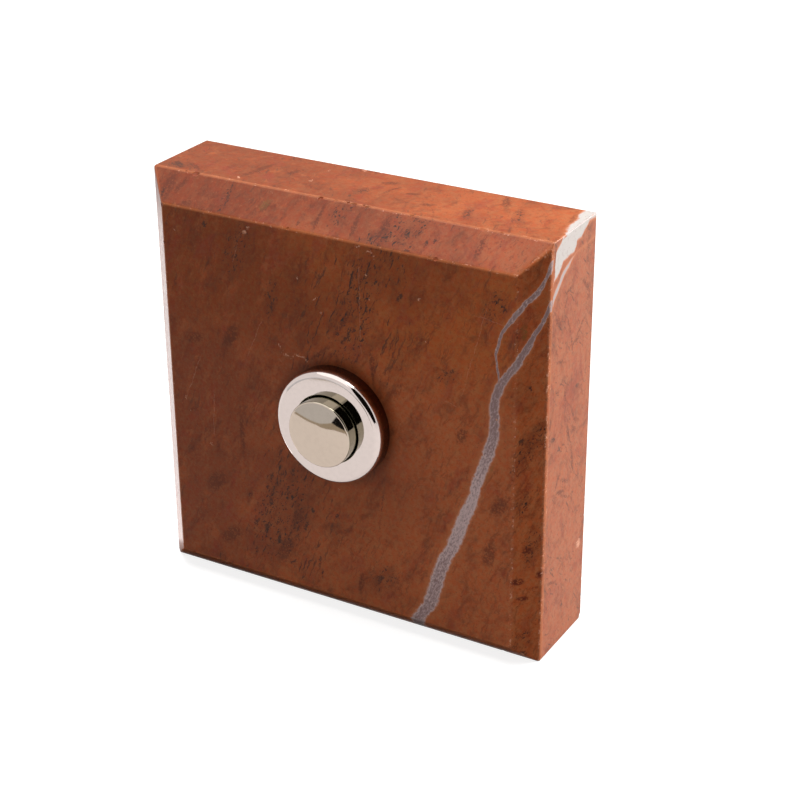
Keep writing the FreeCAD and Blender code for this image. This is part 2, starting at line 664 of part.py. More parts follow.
def base_screws():
    """The two countersunk screws that hold the base to the switch body."""
    screws = []
    for x, z in screw_places():
        shank, head = screw_shapes(0.0, x, z)
        screw = shank.fuse(head)
        half = SCREW_SLOT_WIDTH / 2
        slot = slab(Vector(x - BASE_SCREW_HEAD_RADIUS, BASE_REAR - BASE_SCREW_SLOT_DEPTH, z - half),
                    Vector(x + BASE_SCREW_HEAD_RADIUS, BASE_REAR + OVERCUT, z + half))
        screws.append(screw.cut(slot))
    return Part.makeCompound(screws)


def contact_post(side):
    """A fixed contact, tapped at its back for the terminal screw."""
    x = PUSH_X + side * CONTACT_OFFSET
    shank = rod(POST_RADIUS, POST_FRONT, BASE_REAR, x, PUSH_Z)
    shoulder = rod(POST_SHOULDER_RADIUS, BASE_REAR, POST_REAR, x, PUSH_Z)
    tapping = rod(TERMINAL_SCREW_RADIUS + SCREW_GAP,
                  TERMINAL_HEAD_FRONT - TERMINAL_SCREW_LENGTH - SCREW_GAP,
                  POST_REAR + OVERCUT, x, PUSH_Z)
    return shank.fuse(shoulder).cut(tapping)


def terminal_screws():
    """The two screws that clamp the bell wires."""
    screws = []
    for x, z in contact_places():
        shank = rod(TERMINAL_SCREW_RADIUS, TERMINAL_HEAD_FRONT - TERMINAL_SCREW_LENGTH,
                    TERMINAL_HEAD_FRONT, x, z)
        head = rod(TERMINAL_HEAD_RADIUS, TERMINAL_HEAD_FRONT, TERMINAL_HEAD_REAR, x, z)
        half = SCREW_SLOT_WIDTH / 2
        slot = slab(Vector(x - half, TERMINAL_HEAD_REAR - TERMINAL_SLOT_DEPTH,
                           z - TERMINAL_HEAD_RADIUS * 2),
                    Vector(x + half, TERMINAL_HEAD_REAR + OVERCUT, z + TERMINAL_HEAD_RADIUS * 2))
        screws.append(shank.fuse(head).cut(slot))
    return Part.makeCompound(screws)


def clamp_washers():
    """The two square washers under the terminal screws."""
    washers = []
    half = CLAMP_WASHER_SIDE / 2
    for x, z in contact_places():
        washer = rounded_bar(half, half, CLAMP_WASHER_CORNER, POST_REAR, TERMINAL_HEAD_FRONT,
                             x, z)
        hole = rod(TERMINAL_SCREW_RADIUS + SCREW_GAP, POST_REAR - OVERCUT,
                   TERMINAL_HEAD_FRONT + OVERCUT, x, z)
        washers.append(washer.cut(hole))
    return Part.makeCompound(washers)


def contact_bridge():
    """The strip that joins the two contacts when the button is pressed."""
    strip = slot_bar(CHAMBER_HALF_LENGTH - BRIDGE_SIDE_GAP, CHAMBER_WIDTH / 2 - BRIDGE_SIDE_GAP,
                     BRIDGE_FRONT, BRIDGE_REAR, PUSH_X, PUSH_Z)
    hole = rod(STEM_RADIUS + BRIDGE_STEM_GAP, BRIDGE_FRONT - OVERCUT, BRIDGE_REAR + OVERCUT)
    return strip.cut(hole)


def bridge_tips():
    """The two contact tips on the back of the bridge."""
    return Part.makeCompound([rod(BRIDGE_TIP_RADIUS, BRIDGE_REAR, TIP_REAR, x, z)
                              for x, z in contact_places()])


# Springs

def arc_between(start, direction, end):
    """The arc that leaves a point in a direction and ends at another point."""
    chord = end - start
    unit = chord.normalize()
    length = (end - start).Length
    lift = direction - unit * direction.dot(unit)
    half_angle = math.asin(min(1.0, lift.Length)) / 2
    lift.normalize()
    middle = (start + end) * 0.5 + lift * (length / 2 * math.tan(half_angle))
    return Part.Arc(start, middle, end).toShape()


def coil(wire, radius, turns, front, rear):
    """A wound wire from one place along Y to another, outside faces included."""
    steps_per_turn = 4
    low = front + wire / 2
    rise = (rear - front - wire) / (turns * steps_per_turn)
    turn = 2 * math.pi / steps_per_turn

    def point(step):
        angle = step * turn
        return Vector(PUSH_X + radius * math.cos(angle), low + rise * step,
                      PUSH_Z + radius * math.sin(angle))

    def heading(step):
        angle = step * turn
        return Vector(-radius * math.sin(angle), rise / turn,
                      radius * math.cos(angle)).normalize()

    edges = []
    for step in range(turns * steps_per_turn):
        start, end = point(step), point(step + 1)
        leave, arrive = heading(step), heading(step + 1)
        span, both = end - start, leave + arrive
        bend = 2 * (1 - leave.dot(arrive))
        reach = (-span.dot(both) + math.sqrt(span.dot(both) ** 2 + bend * span.dot(span))) / bend
        joint = (start + leave * reach + end - arrive * reach) * 0.5
        edges.append(arc_between(start, leave, joint))
        edges.append(arc_between(joint, (end - arrive * reach - joint).normalize(), end))
    path = Part.Wire(edges)
    section = Part.Wire(Part.makeCircle(wire / 2, point(0), heading(0)))
    shell = Part.BRepOffsetAPI.MakePipeShell(path)
    shell.add(section)
    shell.build()
    shell.makeSolid()
    return shell.shape()


def return_spring():
    """The spring that lifts the button."""
    return coil(RETURN_SPRING_WIRE, RETURN_SPRING_RADIUS, RETURN_SPRING_TURNS,
                CUP_FLOOR + SPRING_END_GAP, SPRING_SEAT)


def contact_spring():
    """The spring that presses the bridge onto the contacts."""
    return coil(CONTACT_SPRING_WIRE, CONTACT_SPRING_RADIUS, CONTACT_SPRING_TURNS,
                STEM_COLLAR_REAR + SPRING_END_GAP, BRIDGE_FRONT)


# Wall plate and fixings

def wall_plate():
    """The bent tray, with its slots, pin holes and dished inlet."""
    plate = slab(Vector(-PLATE_HALF_WIDTH, PLATE_FRONT, PLATE_BOTTOM),
                 Vector(PLATE_HALF_WIDTH, 0, PLATE_TOP))
    corners = [edge for edge in plate.Edges if runs_along(edge, ALONG_Y)]
    plate = plate.makeFillet(HOLLOW_CORNER, corners)
    for low, high in ((PLATE_BOTTOM, PLATE_BOTTOM + PLATE_THICKNESS),
                      (PLATE_TOP - PLATE_THICKNESS, PLATE_TOP)):
        flange = slab(Vector(-PLATE_FLANGE_HALF_WIDTH, -PLATE_FLANGE_DEPTH, low),
                      Vector(PLATE_FLANGE_HALF_WIDTH, 0, high))
        plate = plate.fuse(flange)
    dish = rod(DISH_RADIUS, PLATE_FRONT - DISH_DEPTH, PLATE_FRONT, INLET_X, INLET_Z)
    plate = plate.fuse(dish)
    pressed = rod(DISH_RADIUS - PLATE_THICKNESS, -DISH_DEPTH, OVERCUT, INLET_X, INLET_Z)
    inlet = rod(GROMMET_NECK_RADIUS + GROMMET_FIT, PLATE_FRONT - DISH_DEPTH - OVERCUT, OVERCUT,
                INLET_X, INLET_Z)
    plate = without(plate, pressed, inlet)
    for side in (-1, 1):
        slot = slot_bar(WALL_SLOT_LENGTH / 2, WALL_SLOT_WIDTH / 2, PLATE_FRONT - OVERCUT,
                        OVERCUT, side * WALL_SLOT_X, 0.0)
        pin_hole = post(PIN_RADIUS + PIN_FIT, PLATE_TOP - PLATE_THICKNESS - OVERCUT,
                        PLATE_TOP + OVERCUT, side * FIXING_X, -PIN_FROM_WALL)
        plate = without(plate, slot, pin_hole)
    return plate.removeSplitter()


def hanging_pins():
    """The two riveted pins on the plate's upper flange that carry the block."""
    pins = []
    flange_under = PLATE_TOP - PLATE_THICKNESS
    for side in (-1, 1):
        x = side * FIXING_X
        shank = post(PIN_RADIUS, flange_under, PLATE_TOP + PIN_LENGTH, x, -PIN_FROM_WALL)
        head = post(PIN_HEAD_RADIUS, flange_under - PIN_HEAD_THICKNESS, flange_under,
                    x, -PIN_FROM_WALL)
        pins.append(shank.fuse(head))
    return Part.makeCompound(pins)


def set_screws():
    """The two socket set screws that lock the block onto the plate."""
    screws = []
    foot = PLATE_BOTTOM - SET_SCREW_LENGTH
    for side in (-1, 1):
        x = side * FIXING_X
        screw = post(SET_SCREW_RADIUS, foot, PLATE_BOTTOM, x, -SET_SCREW_FROM_WALL)
        socket = hexagon_bar(SET_SCREW_SOCKET,
                             Vector(x, -SET_SCREW_FROM_WALL, foot - OVERCUT),
                             SET_SCREW_SOCKET_DEPTH + OVERCUT, ALONG_Z)
        screws.append(screw.cut(socket))
    return Part.makeCompound(screws)


def threaded_inserts():
    """The two ringed inserts bonded into the block for the set screws."""
    inserts = []
    foot = -HALF_HEIGHT + INSERT_SETBACK
    pitch = INSERT_LENGTH / (INSERT_RING_COUNT + 1)
    for side in (-1, 1):
        x = side * FIXING_X
        insert = post(INSERT_RADIUS, foot, foot + INSERT_LENGTH, x, -SET_SCREW_FROM_WALL)
        bore = post(SET_SCREW_RADIUS + SCREW_GAP, foot - OVERCUT,
                    foot + INSERT_LENGTH + OVERCUT, x, -SET_SCREW_FROM_WALL)
        for step in range(1, INSERT_RING_COUNT + 1):
            middle = foot + step * pitch
            low, high = middle - INSERT_RING_WIDTH / 2, middle + INSERT_RING_WIDTH / 2
            band = post(INSERT_RADIUS + OVERCUT, low, high, x, -SET_SCREW_FROM_WALL)
            core = post(INSERT_RADIUS - INSERT_RING_DEPTH, low - OVERCUT, high + OVERCUT,
                        x, -SET_SCREW_FROM_WALL)
            insert = insert.cut(band.cut(core))
        inserts.append(insert.cut(bore))
    return Part.makeCompound(inserts)


def insulating_disc():
    """The card disc between the terminals and the steel plate."""
    return rod(INSULATOR_RADIUS, INSULATOR_FRONT, PLATE_FRONT)


def cable_grommet():
    """The rubber grommet that the bell wire comes in through."""
    plate_rear = -DISH_DEPTH
    plate_front = PLATE_FRONT - DISH_DEPTH
    neck = rod(GROMMET_NECK_RADIUS, plate_front, plate_rear, INLET_X, INLET_Z)
    rear_lip = rod(GROMMET_LIP_RADIUS, plate_rear, plate_rear + GROMMET_LIP_THICKNESS,
                   INLET_X, INLET_Z)
    front_lip = rod(GROMMET_LIP_RADIUS, plate_front - GROMMET_LIP_THICKNESS, plate_front,
                    INLET_X, INLET_Z)
    bore = rod(INLET_RADIUS, plate_front - GROMMET_LIP_THICKNESS - OVERCUT, OVERCUT,
               INLET_X, INLET_Z)
    return neck.fuse(rear_lip).fuse(front_lip).cut(bore)


def main():
    """Write each piece to its own file."""
    pieces = {
        "stone_block": stone_block(),
        "wall_seal": wall_seal(),
        "bezel": bezel(),
        "flange_seal": flange_seal(),
        "button_seal": button_seal(),
        "push_button": push_button(),
        "plunger_stem": plunger_stem(),
        "stem_clip": stem_clip(),
        "fibre_washer": fibre_washer(),
        "lock_washer": lock_washer(),
        "ring_nut": ring_nut(),
        "snap_ring": snap_ring(),
        "switch_body": switch_body(),
        "switch_base": switch_base(),
        "base_screws": base_screws(),
        "contact_post_left": contact_post(-1),
        "contact_post_right": contact_post(1),
        "terminal_screws": terminal_screws(),
        "clamp_washers": clamp_washers(),
        "contact_bridge": contact_bridge(),
        "bridge_tips": bridge_tips(),
        "return_spring": return_spring(),
        "contact_spring": contact_spring(),
        "wall_plate": wall_plate(),
        "hanging_pins": hanging_pins(),
        "set_screws": set_screws(),
        "threaded_inserts": threaded_inserts(),
        "insulating_disc": insulating_disc(),
        "cable_grommet": cable_grommet(),
    }
    os.makedirs("parts", exist_ok=True)
    for name, piece in pieces.items():
        box = piece.BoundBox
        print("%-20s solids %d  valid %s  volume %8.2f  y %7.2f to %7.2f" % (
            name, len(piece.Solids), piece.isValid(), piece.Volume, box.YMin, box.YMax))
        piece.exportStep("parts/%s.step" % name)


main()
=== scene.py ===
"""Looks of a wired bell push: a polished stone block with a plated push in its front face.

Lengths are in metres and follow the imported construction: X to the right as seen from the
front, Y into the wall, Z up, and the origin at the centre of the block's back. Patterns in
the stone are laid out in millimetres on the same axes.
"""

import json
import logging
import math
import random
from dataclasses import astuple, dataclass
from enum import Enum
from typing import Callable, Dict, List, Optional, Sequence, Tuple, Union

import bpy
from mathutils import Euler, Matrix, Vector

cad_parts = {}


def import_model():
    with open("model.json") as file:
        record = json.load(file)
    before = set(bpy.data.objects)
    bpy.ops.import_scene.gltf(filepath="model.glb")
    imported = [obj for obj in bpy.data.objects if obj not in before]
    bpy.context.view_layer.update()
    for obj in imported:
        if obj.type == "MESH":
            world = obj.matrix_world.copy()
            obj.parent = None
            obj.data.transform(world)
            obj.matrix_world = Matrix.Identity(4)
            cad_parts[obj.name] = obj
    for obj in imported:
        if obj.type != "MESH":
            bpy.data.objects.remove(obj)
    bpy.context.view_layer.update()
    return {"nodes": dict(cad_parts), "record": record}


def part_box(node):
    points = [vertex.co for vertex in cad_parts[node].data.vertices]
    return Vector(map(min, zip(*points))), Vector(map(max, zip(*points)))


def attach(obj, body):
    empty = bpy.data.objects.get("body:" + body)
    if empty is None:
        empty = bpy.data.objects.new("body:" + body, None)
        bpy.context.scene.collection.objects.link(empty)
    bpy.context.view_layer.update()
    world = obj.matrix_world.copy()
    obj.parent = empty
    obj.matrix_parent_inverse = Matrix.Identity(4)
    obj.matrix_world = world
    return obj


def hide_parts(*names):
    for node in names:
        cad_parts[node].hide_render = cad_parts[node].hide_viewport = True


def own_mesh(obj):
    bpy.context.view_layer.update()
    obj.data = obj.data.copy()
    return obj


MM = 0.001
NEAR = 1e-6
LOG = logging.getLogger("bell_push")
ACROSS, DEEP, UP = (1.0, 0.0, 0.0), (0.0, 1.0, 0.0), (0.0, 0.0, 1.0)

Socket = bpy.types.NodeSocket
Piece = bpy.types.Object
Value = Union[float, Sequence[float], Socket]
Colour = Tuple[float, float, float]
Point = Tuple[float, float]
Triple = Tuple[float, float, float]
Chamfer = Tuple[Triple, float, float]


# Node trees


class Graph:
    """A node tree that is being built."""

    def __init__(self, tree: bpy.types.NodeTree) -> None:
        """Start on a tree.

        Args:
            tree: The tree that new nodes go into.
        """
        self.tree = tree

    def node(self, kind: str, inputs: Optional[Dict] = None, **settings) -> bpy.types.Node:
        """Add a node.

        Args:
            kind: The node's type, without its ShaderNode prefix.
            inputs: Values or sockets for its inputs, by name or number.
            settings: The node's own properties.

        Returns:
            The new node.
        """
        made = self.tree.nodes.new("ShaderNode" + kind)
        for name, value in settings.items():
            setattr(made, name, value)
        for key, value in (inputs or {}).items():
            self.feed(made.inputs[key], value)
        return made

    def feed(self, socket: Socket, value: Value) -> None:
        """Link a socket to another one, or set its value.

        Args:
            socket: The input.
            value: The output to link it to, or a number, vector or colour.
        """
        if isinstance(value, Socket):
            self.tree.links.new(value, socket)
            return
        if socket.type == "RGBA" and len(value) == 3:
            value = (*value, 1.0)
        socket.default_value = value

    def math(self, operation: str, *values: Value, clamp: bool = False) -> Socket:
        """A Math node on up to three values."""
        return self.node("Math", dict(enumerate(values)), operation=operation, use_clamp=clamp).outputs[0]

    def times(self, first: Value, *others: Value) -> Value:
        """The product of some values.

        Args:
            first: The first one.
            others: The others.

        Returns:
            The product.
        """
        for other in others:
            first = self.math("MULTIPLY", first, other)
        return first

    def less(self, value: Value, other: Value) -> Socket:
        """One value less another."""
        return self.math("SUBTRACT", value, other)

    def gap(self, value: Value, other: Value) -> Socket:
        """How far two values are apart."""
        return self.math("ABSOLUTE", self.less(value, other))

    def scaled(self, value: Value, factor: Value, offset: Value, clamp: bool = False) -> Socket:
        """A value times a factor, plus an offset."""
        return self.math("MULTIPLY_ADD", value, factor, offset, clamp=clamp)

    def along(self, place: Value, direction: Value) -> Socket:
        """How far a place lies along a direction."""
        return self.vector("DOT_PRODUCT", place, direction)

    def vector(self, operation: str, *values: Value, scale: Optional[Value] = None) -> Socket:
        """A Vector Math node.

        Args:
            operation: What it does.
            values: Its vectors.
            scale: The factor of a SCALE.

        Returns:
            Its vector, or its number where the operation gives one.
        """
        made = self.node("VectorMath", dict(enumerate(values)), operation=operation)
        if scale is not None:
            self.feed(made.inputs["Scale"], scale)
        gives_number = operation in ("DOT_PRODUCT", "LENGTH", "DISTANCE")
        return made.outputs["Value" if gives_number else "Vector"]

    def mix(self, factor: Value, first: Value, second: Value, blend: str = "MIX") -> Socket:
        """A mix of two colours.

        Args:
            factor: The share of the second colour.
            first: The first colour.
            second: The second colour.
            blend: How they are mixed.

        Returns:
            The mixed colour.
        """
        made = self.node("Mix", data_type="RGBA", blend_type=blend)
        self.feed(made.inputs["Factor"], factor)
        colours = [socket for socket in made.inputs if socket.type == "RGBA"]
        self.feed(colours[0], first)
        self.feed(colours[1], second)
        return [socket for socket in made.outputs if socket.type == "RGBA"][0]

    def noise(self, vector: Value, scale: float, detail: float = 2.0, roughness: float = 0.5,
              distortion: float = 0.0, output: str = "Fac") -> Socket:
        """A noise texture of about 0 to 1."""
        return self.node("TexNoise", {"Vector": vector, "Scale": scale, "Detail": detail,
                                      "Roughness": roughness, "Distortion": distortion}).outputs[output]

    def smooth(self, value: Value, low: float, high: float, top: Value = 1.0) -> Socket:
        """A smooth step from 0 at low to top at high, which may be the lower of the two.

        Args:
            value: Where to read it.
            low: Where it is 0.
            high: Where it is at its top.
            top: Its greatest result.

        Returns:
            The step's result at the value.
        """
        if low < high:
            return self.node("MapRange", {"Value": value, "From Min": low, "From Max": high, "To Max": top},
                             interpolation_type="SMOOTHSTEP", clamp=False).outputs[0]
        return self.node("MapRange", {"Value": value, "From Min": high, "From Max": low,
                                      "To Min": top, "To Max": 0.0},
                         interpolation_type="SMOOTHSTEP", clamp=False).outputs[0]

    def drawn(self, place: Value, turn: Triple, reach: Triple) -> Socket:
        """A place along turned axes, so that a pattern read there is drawn out.

        Args:
            place: The place.
            turn: The axes' turn about X, Y and Z in degrees.
            reach: What one unit of the pattern spans along each axis.

        Returns:
            The place in the pattern.
        """
        axes = Euler([math.radians(angle) for angle in turn]).to_matrix()
        parts = [self.along(place, tuple(axes.col[i] / reach[i])) for i in range(3)]
        return self.node("CombineXYZ", dict(enumerate(parts))).outputs[0]

    def curve(self, value: Value, points: Sequence[Point], low: float, high: float) -> Socket:
        """A smooth curve through points.

        Args:
            value: Where to read it.
            points: Points of (value, result), in order of value.
            low: The least result.
            high: The greatest result.

        Returns:
            The curve's result at the value.
        """
        first, last = points[0][0], points[-1][0]
        share = self.node("MapRange", {"Value": value, "From Min": first, "From Max": last}).outputs[0]
        made = self.node("FloatCurve", {"Value": share})
        handles = made.mapping.curves[0].points
        while len(handles) < len(points):
            handles.new(0.5, 0.5)
        for handle, (at, result) in zip(handles, points):
            handle.location = ((at - first) / (last - first), (result - low) / (high - low))
        made.mapping.update()
        return self.scaled(made.outputs[0], high - low, low)

    def placed(self, group: bpy.types.NodeTree, **inputs: Value) -> bpy.types.Node:
        """A copy of a node group, with its inputs set by name.

        Args:
            group: The group.
            inputs: Values or sockets for its inputs.

        Returns:
            The group's node.
        """
        made = self.node("Group", node_tree=group)
        for name, value in inputs.items():
            self.feed(made.inputs[name], value)
        return made


def node_group(name: str, inputs: Dict[str, Value], outputs: Dict[str, str],
               build: Callable[[Graph, bpy.types.Node], Dict[str, Value]]) -> bpy.types.NodeTree:
    """A shader node group, built once.

    Args:
        name: Its name.
        inputs: Default of each named input: a number, or a vector.
        outputs: Kind of each named output: Float, Vector or Color.
        build: What fills it. It gets the graph and the input node, and returns the outputs.

    Returns:
        The group.
    """
    if name in bpy.data.node_groups:
        return bpy.data.node_groups[name]
    tree = bpy.data.node_groups.new(name, "ShaderNodeTree")
    for key, value in inputs.items():
        kind = "NodeSocketFloat" if isinstance(value, float) else "NodeSocketVector"
        socket = tree.interface.new_socket(key, in_out="INPUT", socket_type=kind)
        socket.default_value = value
    for key, kind in outputs.items():
        tree.interface.new_socket(key, in_out="OUTPUT", socket_type="NodeSocket" + kind)
    graph = Graph(tree)
    entry = tree.nodes.new("NodeGroupInput")
    leave = tree.nodes.new("NodeGroupOutput")
    for key, value in build(graph, entry).items():
        graph.feed(leave.inputs[key], value)
    return tree


def mark_group() -> bpy.types.NodeTree:
    """A group that masks one mark: a soft-edged spindle about a point.

    Returns:
        The group.
    """

    def build(graph: Graph, entry: bpy.types.Node) -> Dict[str, Value]:
        """Distance from the mark's middle in half widths, shortened along it.

        Args:
            graph: The group's graph.
            entry: The group's input node.

        Returns:
            The group's outputs by name.
        """
        along, width = entry.outputs["Along"], entry.outputs["Half Width"]
        offset = graph.vector("SUBTRACT", entry.outputs["Vector"], entry.outputs["Middle"])
        offset = graph.vector("SCALE", offset, scale=graph.math("DIVIDE", 1.0, width))
        shorten = graph.less(graph.math("DIVIDE", width, entry.outputs["Half Length"]), 1.0)
        shorten = graph.times(shorten, graph.along(offset, along))
        offset = graph.vector("ADD", offset, graph.vector("SCALE", along, scale=shorten))
        return {"Mask": graph.smooth(graph.vector("LENGTH", offset), 1.25, 0.55)}

    inputs = {"Vector": (0, 0, 0), "Middle": (0, 0, 0), "Along": (1, 0, 0),
              "Half Length": 1.0, "Half Width": 1.0}
    return node_group("mark", inputs, {"Mask": "Float"}, build)


def streak_group() -> bpy.types.NodeTree:
    """A group that masks fine broken streaks along one direction, in patches.

    Returns:
        The group.
    """

    def build(graph: Graph, entry: bpy.types.Node) -> Dict[str, Value]:
        """Noise that is drawn out along the streaks, kept inside broad patches.

        Args:
            graph: The group's graph.
            entry: The group's input node.

        Returns:
            The group's outputs by name.
        """
        lines = graph.noise(entry.outputs["Drawn"], 1.0, 4.0, 0.62, 0.25)
        patches = graph.noise(graph.vector("ADD", entry.outputs["Vector"], (31.0, 7.0, 13.0)), 0.13, 2.0)
        bound = graph.scaled(graph.smooth(patches, 0.36, 0.62), -0.10, 0.66)
        above = graph.less(lines, bound)
        return {"Mask": graph.smooth(above, 0.0, 0.09)}

    return node_group("streaks", {"Vector": (0, 0, 0), "Drawn": (0, 0, 0)}, {"Mask": "Float"}, build)


def thread_group() -> bpy.types.NodeTree:
    """A group that masks thin wandering threads along one direction.

    Returns:
        The group.
    """

    def build(graph: Graph, entry: bpy.types.Node) -> Dict[str, Value]:
        """The middle line of a noise that is drawn out along the threads.

        Args:
            graph: The group's graph.
            entry: The group's input node.

        Returns:
            The group's outputs by name.
        """
        level = graph.less(graph.noise(entry.outputs["Drawn"], 1.0, 5.0, 0.6, 0.4), 0.5)
        level = graph.math("ABSOLUTE", level)
        patches = graph.noise(graph.vector("ADD", entry.outputs["Vector"], (3.0, 47.0, 23.0)), 0.2, 2.0)
        return {"Mask": graph.times(graph.smooth(level, 0.022, 0.004), graph.smooth(patches, 0.46, 0.60))}

    return node_group("threads", {"Vector": (0, 0, 0), "Drawn": (0, 0, 0)}, {"Mask": "Float"}, build)


def grain_group() -> bpy.types.NodeTree:
    """A group of fine grain: a value about 0.5 and a finer one for roughness.

    Returns:
        The group.
    """

    def build(graph: Graph, entry: bpy.types.Node) -> Dict[str, Value]:
        """Two noises, one four times as fine as the other.

        Args:
            graph: The group's graph.
            entry: The group's input node.

        Returns:
            The group's outputs by name.
        """
        scale = entry.outputs["Scale"]
        coarse = graph.node("TexNoise", {"Vector": entry.outputs["Vector"], "Scale": scale, "Detail": 3.0})
        fine = graph.node("TexNoise", {"Vector": entry.outputs["Vector"],
                                       "Scale": graph.times(scale, 4.0), "Detail": 2.0})
        return {"Coarse": coarse.outputs["Fac"], "Fine": fine.outputs["Fac"]}

    outputs = {"Coarse": "Float", "Fine": "Float"}
    return node_group("grain", {"Vector": (0, 0, 0), "Scale": 1.0}, outputs, build)


def opened(material: bpy.types.Material) -> Tuple[Graph, bpy.types.Node, Socket]:
    """What a material is built on.

    Args:
        material: The material.

    Returns:
        Its graph, its Principled shader and a vector of the place in millimetres.
    """
    graph = Graph(material.node_tree)
    place = graph.node("TexCoord").outputs["Object"]
    return graph, material.node_tree.nodes["Principled BSDF"], graph.vector("SCALE", place, scale=1.0 / MM)


def new_material(name: str) -> Tuple[bpy.types.Material, Graph, bpy.types.Node, Socket]:
    """An empty material with its shader and its place in millimetres.

    Args:
        name: The material's name.

    Returns:
        The material, its graph, its Principled shader and a vector of the place in millimetres.
    """
    material = bpy.data.materials.new(name)
    material.use_nodes = True
    return (material, *opened(material))


def from_axis(graph: Graph, place: Value, axis: Point) -> Socket:
    """The distance from a line along Y.

    Args:
        graph: The material's graph.
        place: The place in millimetres.
        axis: X and Z of the line, in metres.

    Returns:
        The distance in millimetres.
    """
    offset = graph.vector("SUBTRACT", place, (axis[0] / MM, 0.0, axis[1] / MM))
    return graph.vector("LENGTH", graph.vector("MULTIPLY", offset, (1.0, 0.0, 1.0)))


# Finishes


class Face(Enum):
    """A face of the block: a point of it in millimetres, and its two directions."""

    front = ((0.0, -20.0, 0.0), (1.0, 0.0, 0.0), (0.0, 0.0, 1.0))
    top = ((0.0, 0.0, 37.5), (1.0, 0.0, 0.0), (0.0, 1.0, 0.0))
    right = ((37.5, 0.0, 0.0), (0.0, 1.0, 0.0), (0.0, 0.0, 1.0))
    top_chamfer = ((0.0, -20.0, 32.9), (1.0, 0.0, 0.0), (0.0, 0.729, 0.684))
    right_chamfer = ((33.7, -20.0, 0.0), (0.637, 0.771, 0.0), (0.0, 0.0, 1.0))


@dataclass(frozen=True)
class Fleck:
    """A mark in a face: its middle, its slope there in degrees, its half length and half width."""

    across: float
    up: float
    slope: float
    half_length: float
    half_width: float
    face: Face

    def place(self) -> Tuple[Vector, Vector]:
        """Its middle and its direction on the block, in millimetres.

        Returns:
            The middle and the direction.
        """
        origin, first, second = (Vector(part) for part in self.face.value)
        angle = math.radians(self.slope)
        middle = origin + first * self.across + second * self.up
        return middle, first * math.cos(angle) + second * math.sin(angle)


Layer = Tuple[Sequence[Fleck], Value, Colour, float]


def flecks(face: Face, *rows: Tuple[float, ...]) -> Tuple[Fleck, ...]:
    """Marks of one face, each from a row of its numbers in Fleck's order."""
    return tuple(Fleck(*row, face) for row in rows)


class Zone(Enum):
    """A part of the block: a direction, and where along it a soft step is 0 and 1, in millimetres."""

    front = (DEEP, -19.6, -19.9)
    past_front = (DEEP, -19.9, -19.5)
    before_sides = (DEEP, -15.2, -15.6)
    ahead_of_sides = (DEEP, -15.3, -15.5)
    sides = (DEEP, -15.6, -15.0)
    sawn_back = (DEEP, -0.4, -0.1)
    beside = (ACROSS, 37.1, 37.4)
    high = (UP, 4.0, 22.0)
    upper_left = ((-1.0, 0.0, 1.0), -1.0, 1.0)
    right_arris = ((1.0, -1.0, 0.0), 53.0, 53.5)
    round_flange = (DEEP, -19.0, -19.8)

    def mask(self, graph: Graph, place: Value) -> Socket:
        """1 inside it and 0 outside, softly."""
        direction, none, full = self.value
        return graph.smooth(graph.along(place, direction), none, full)


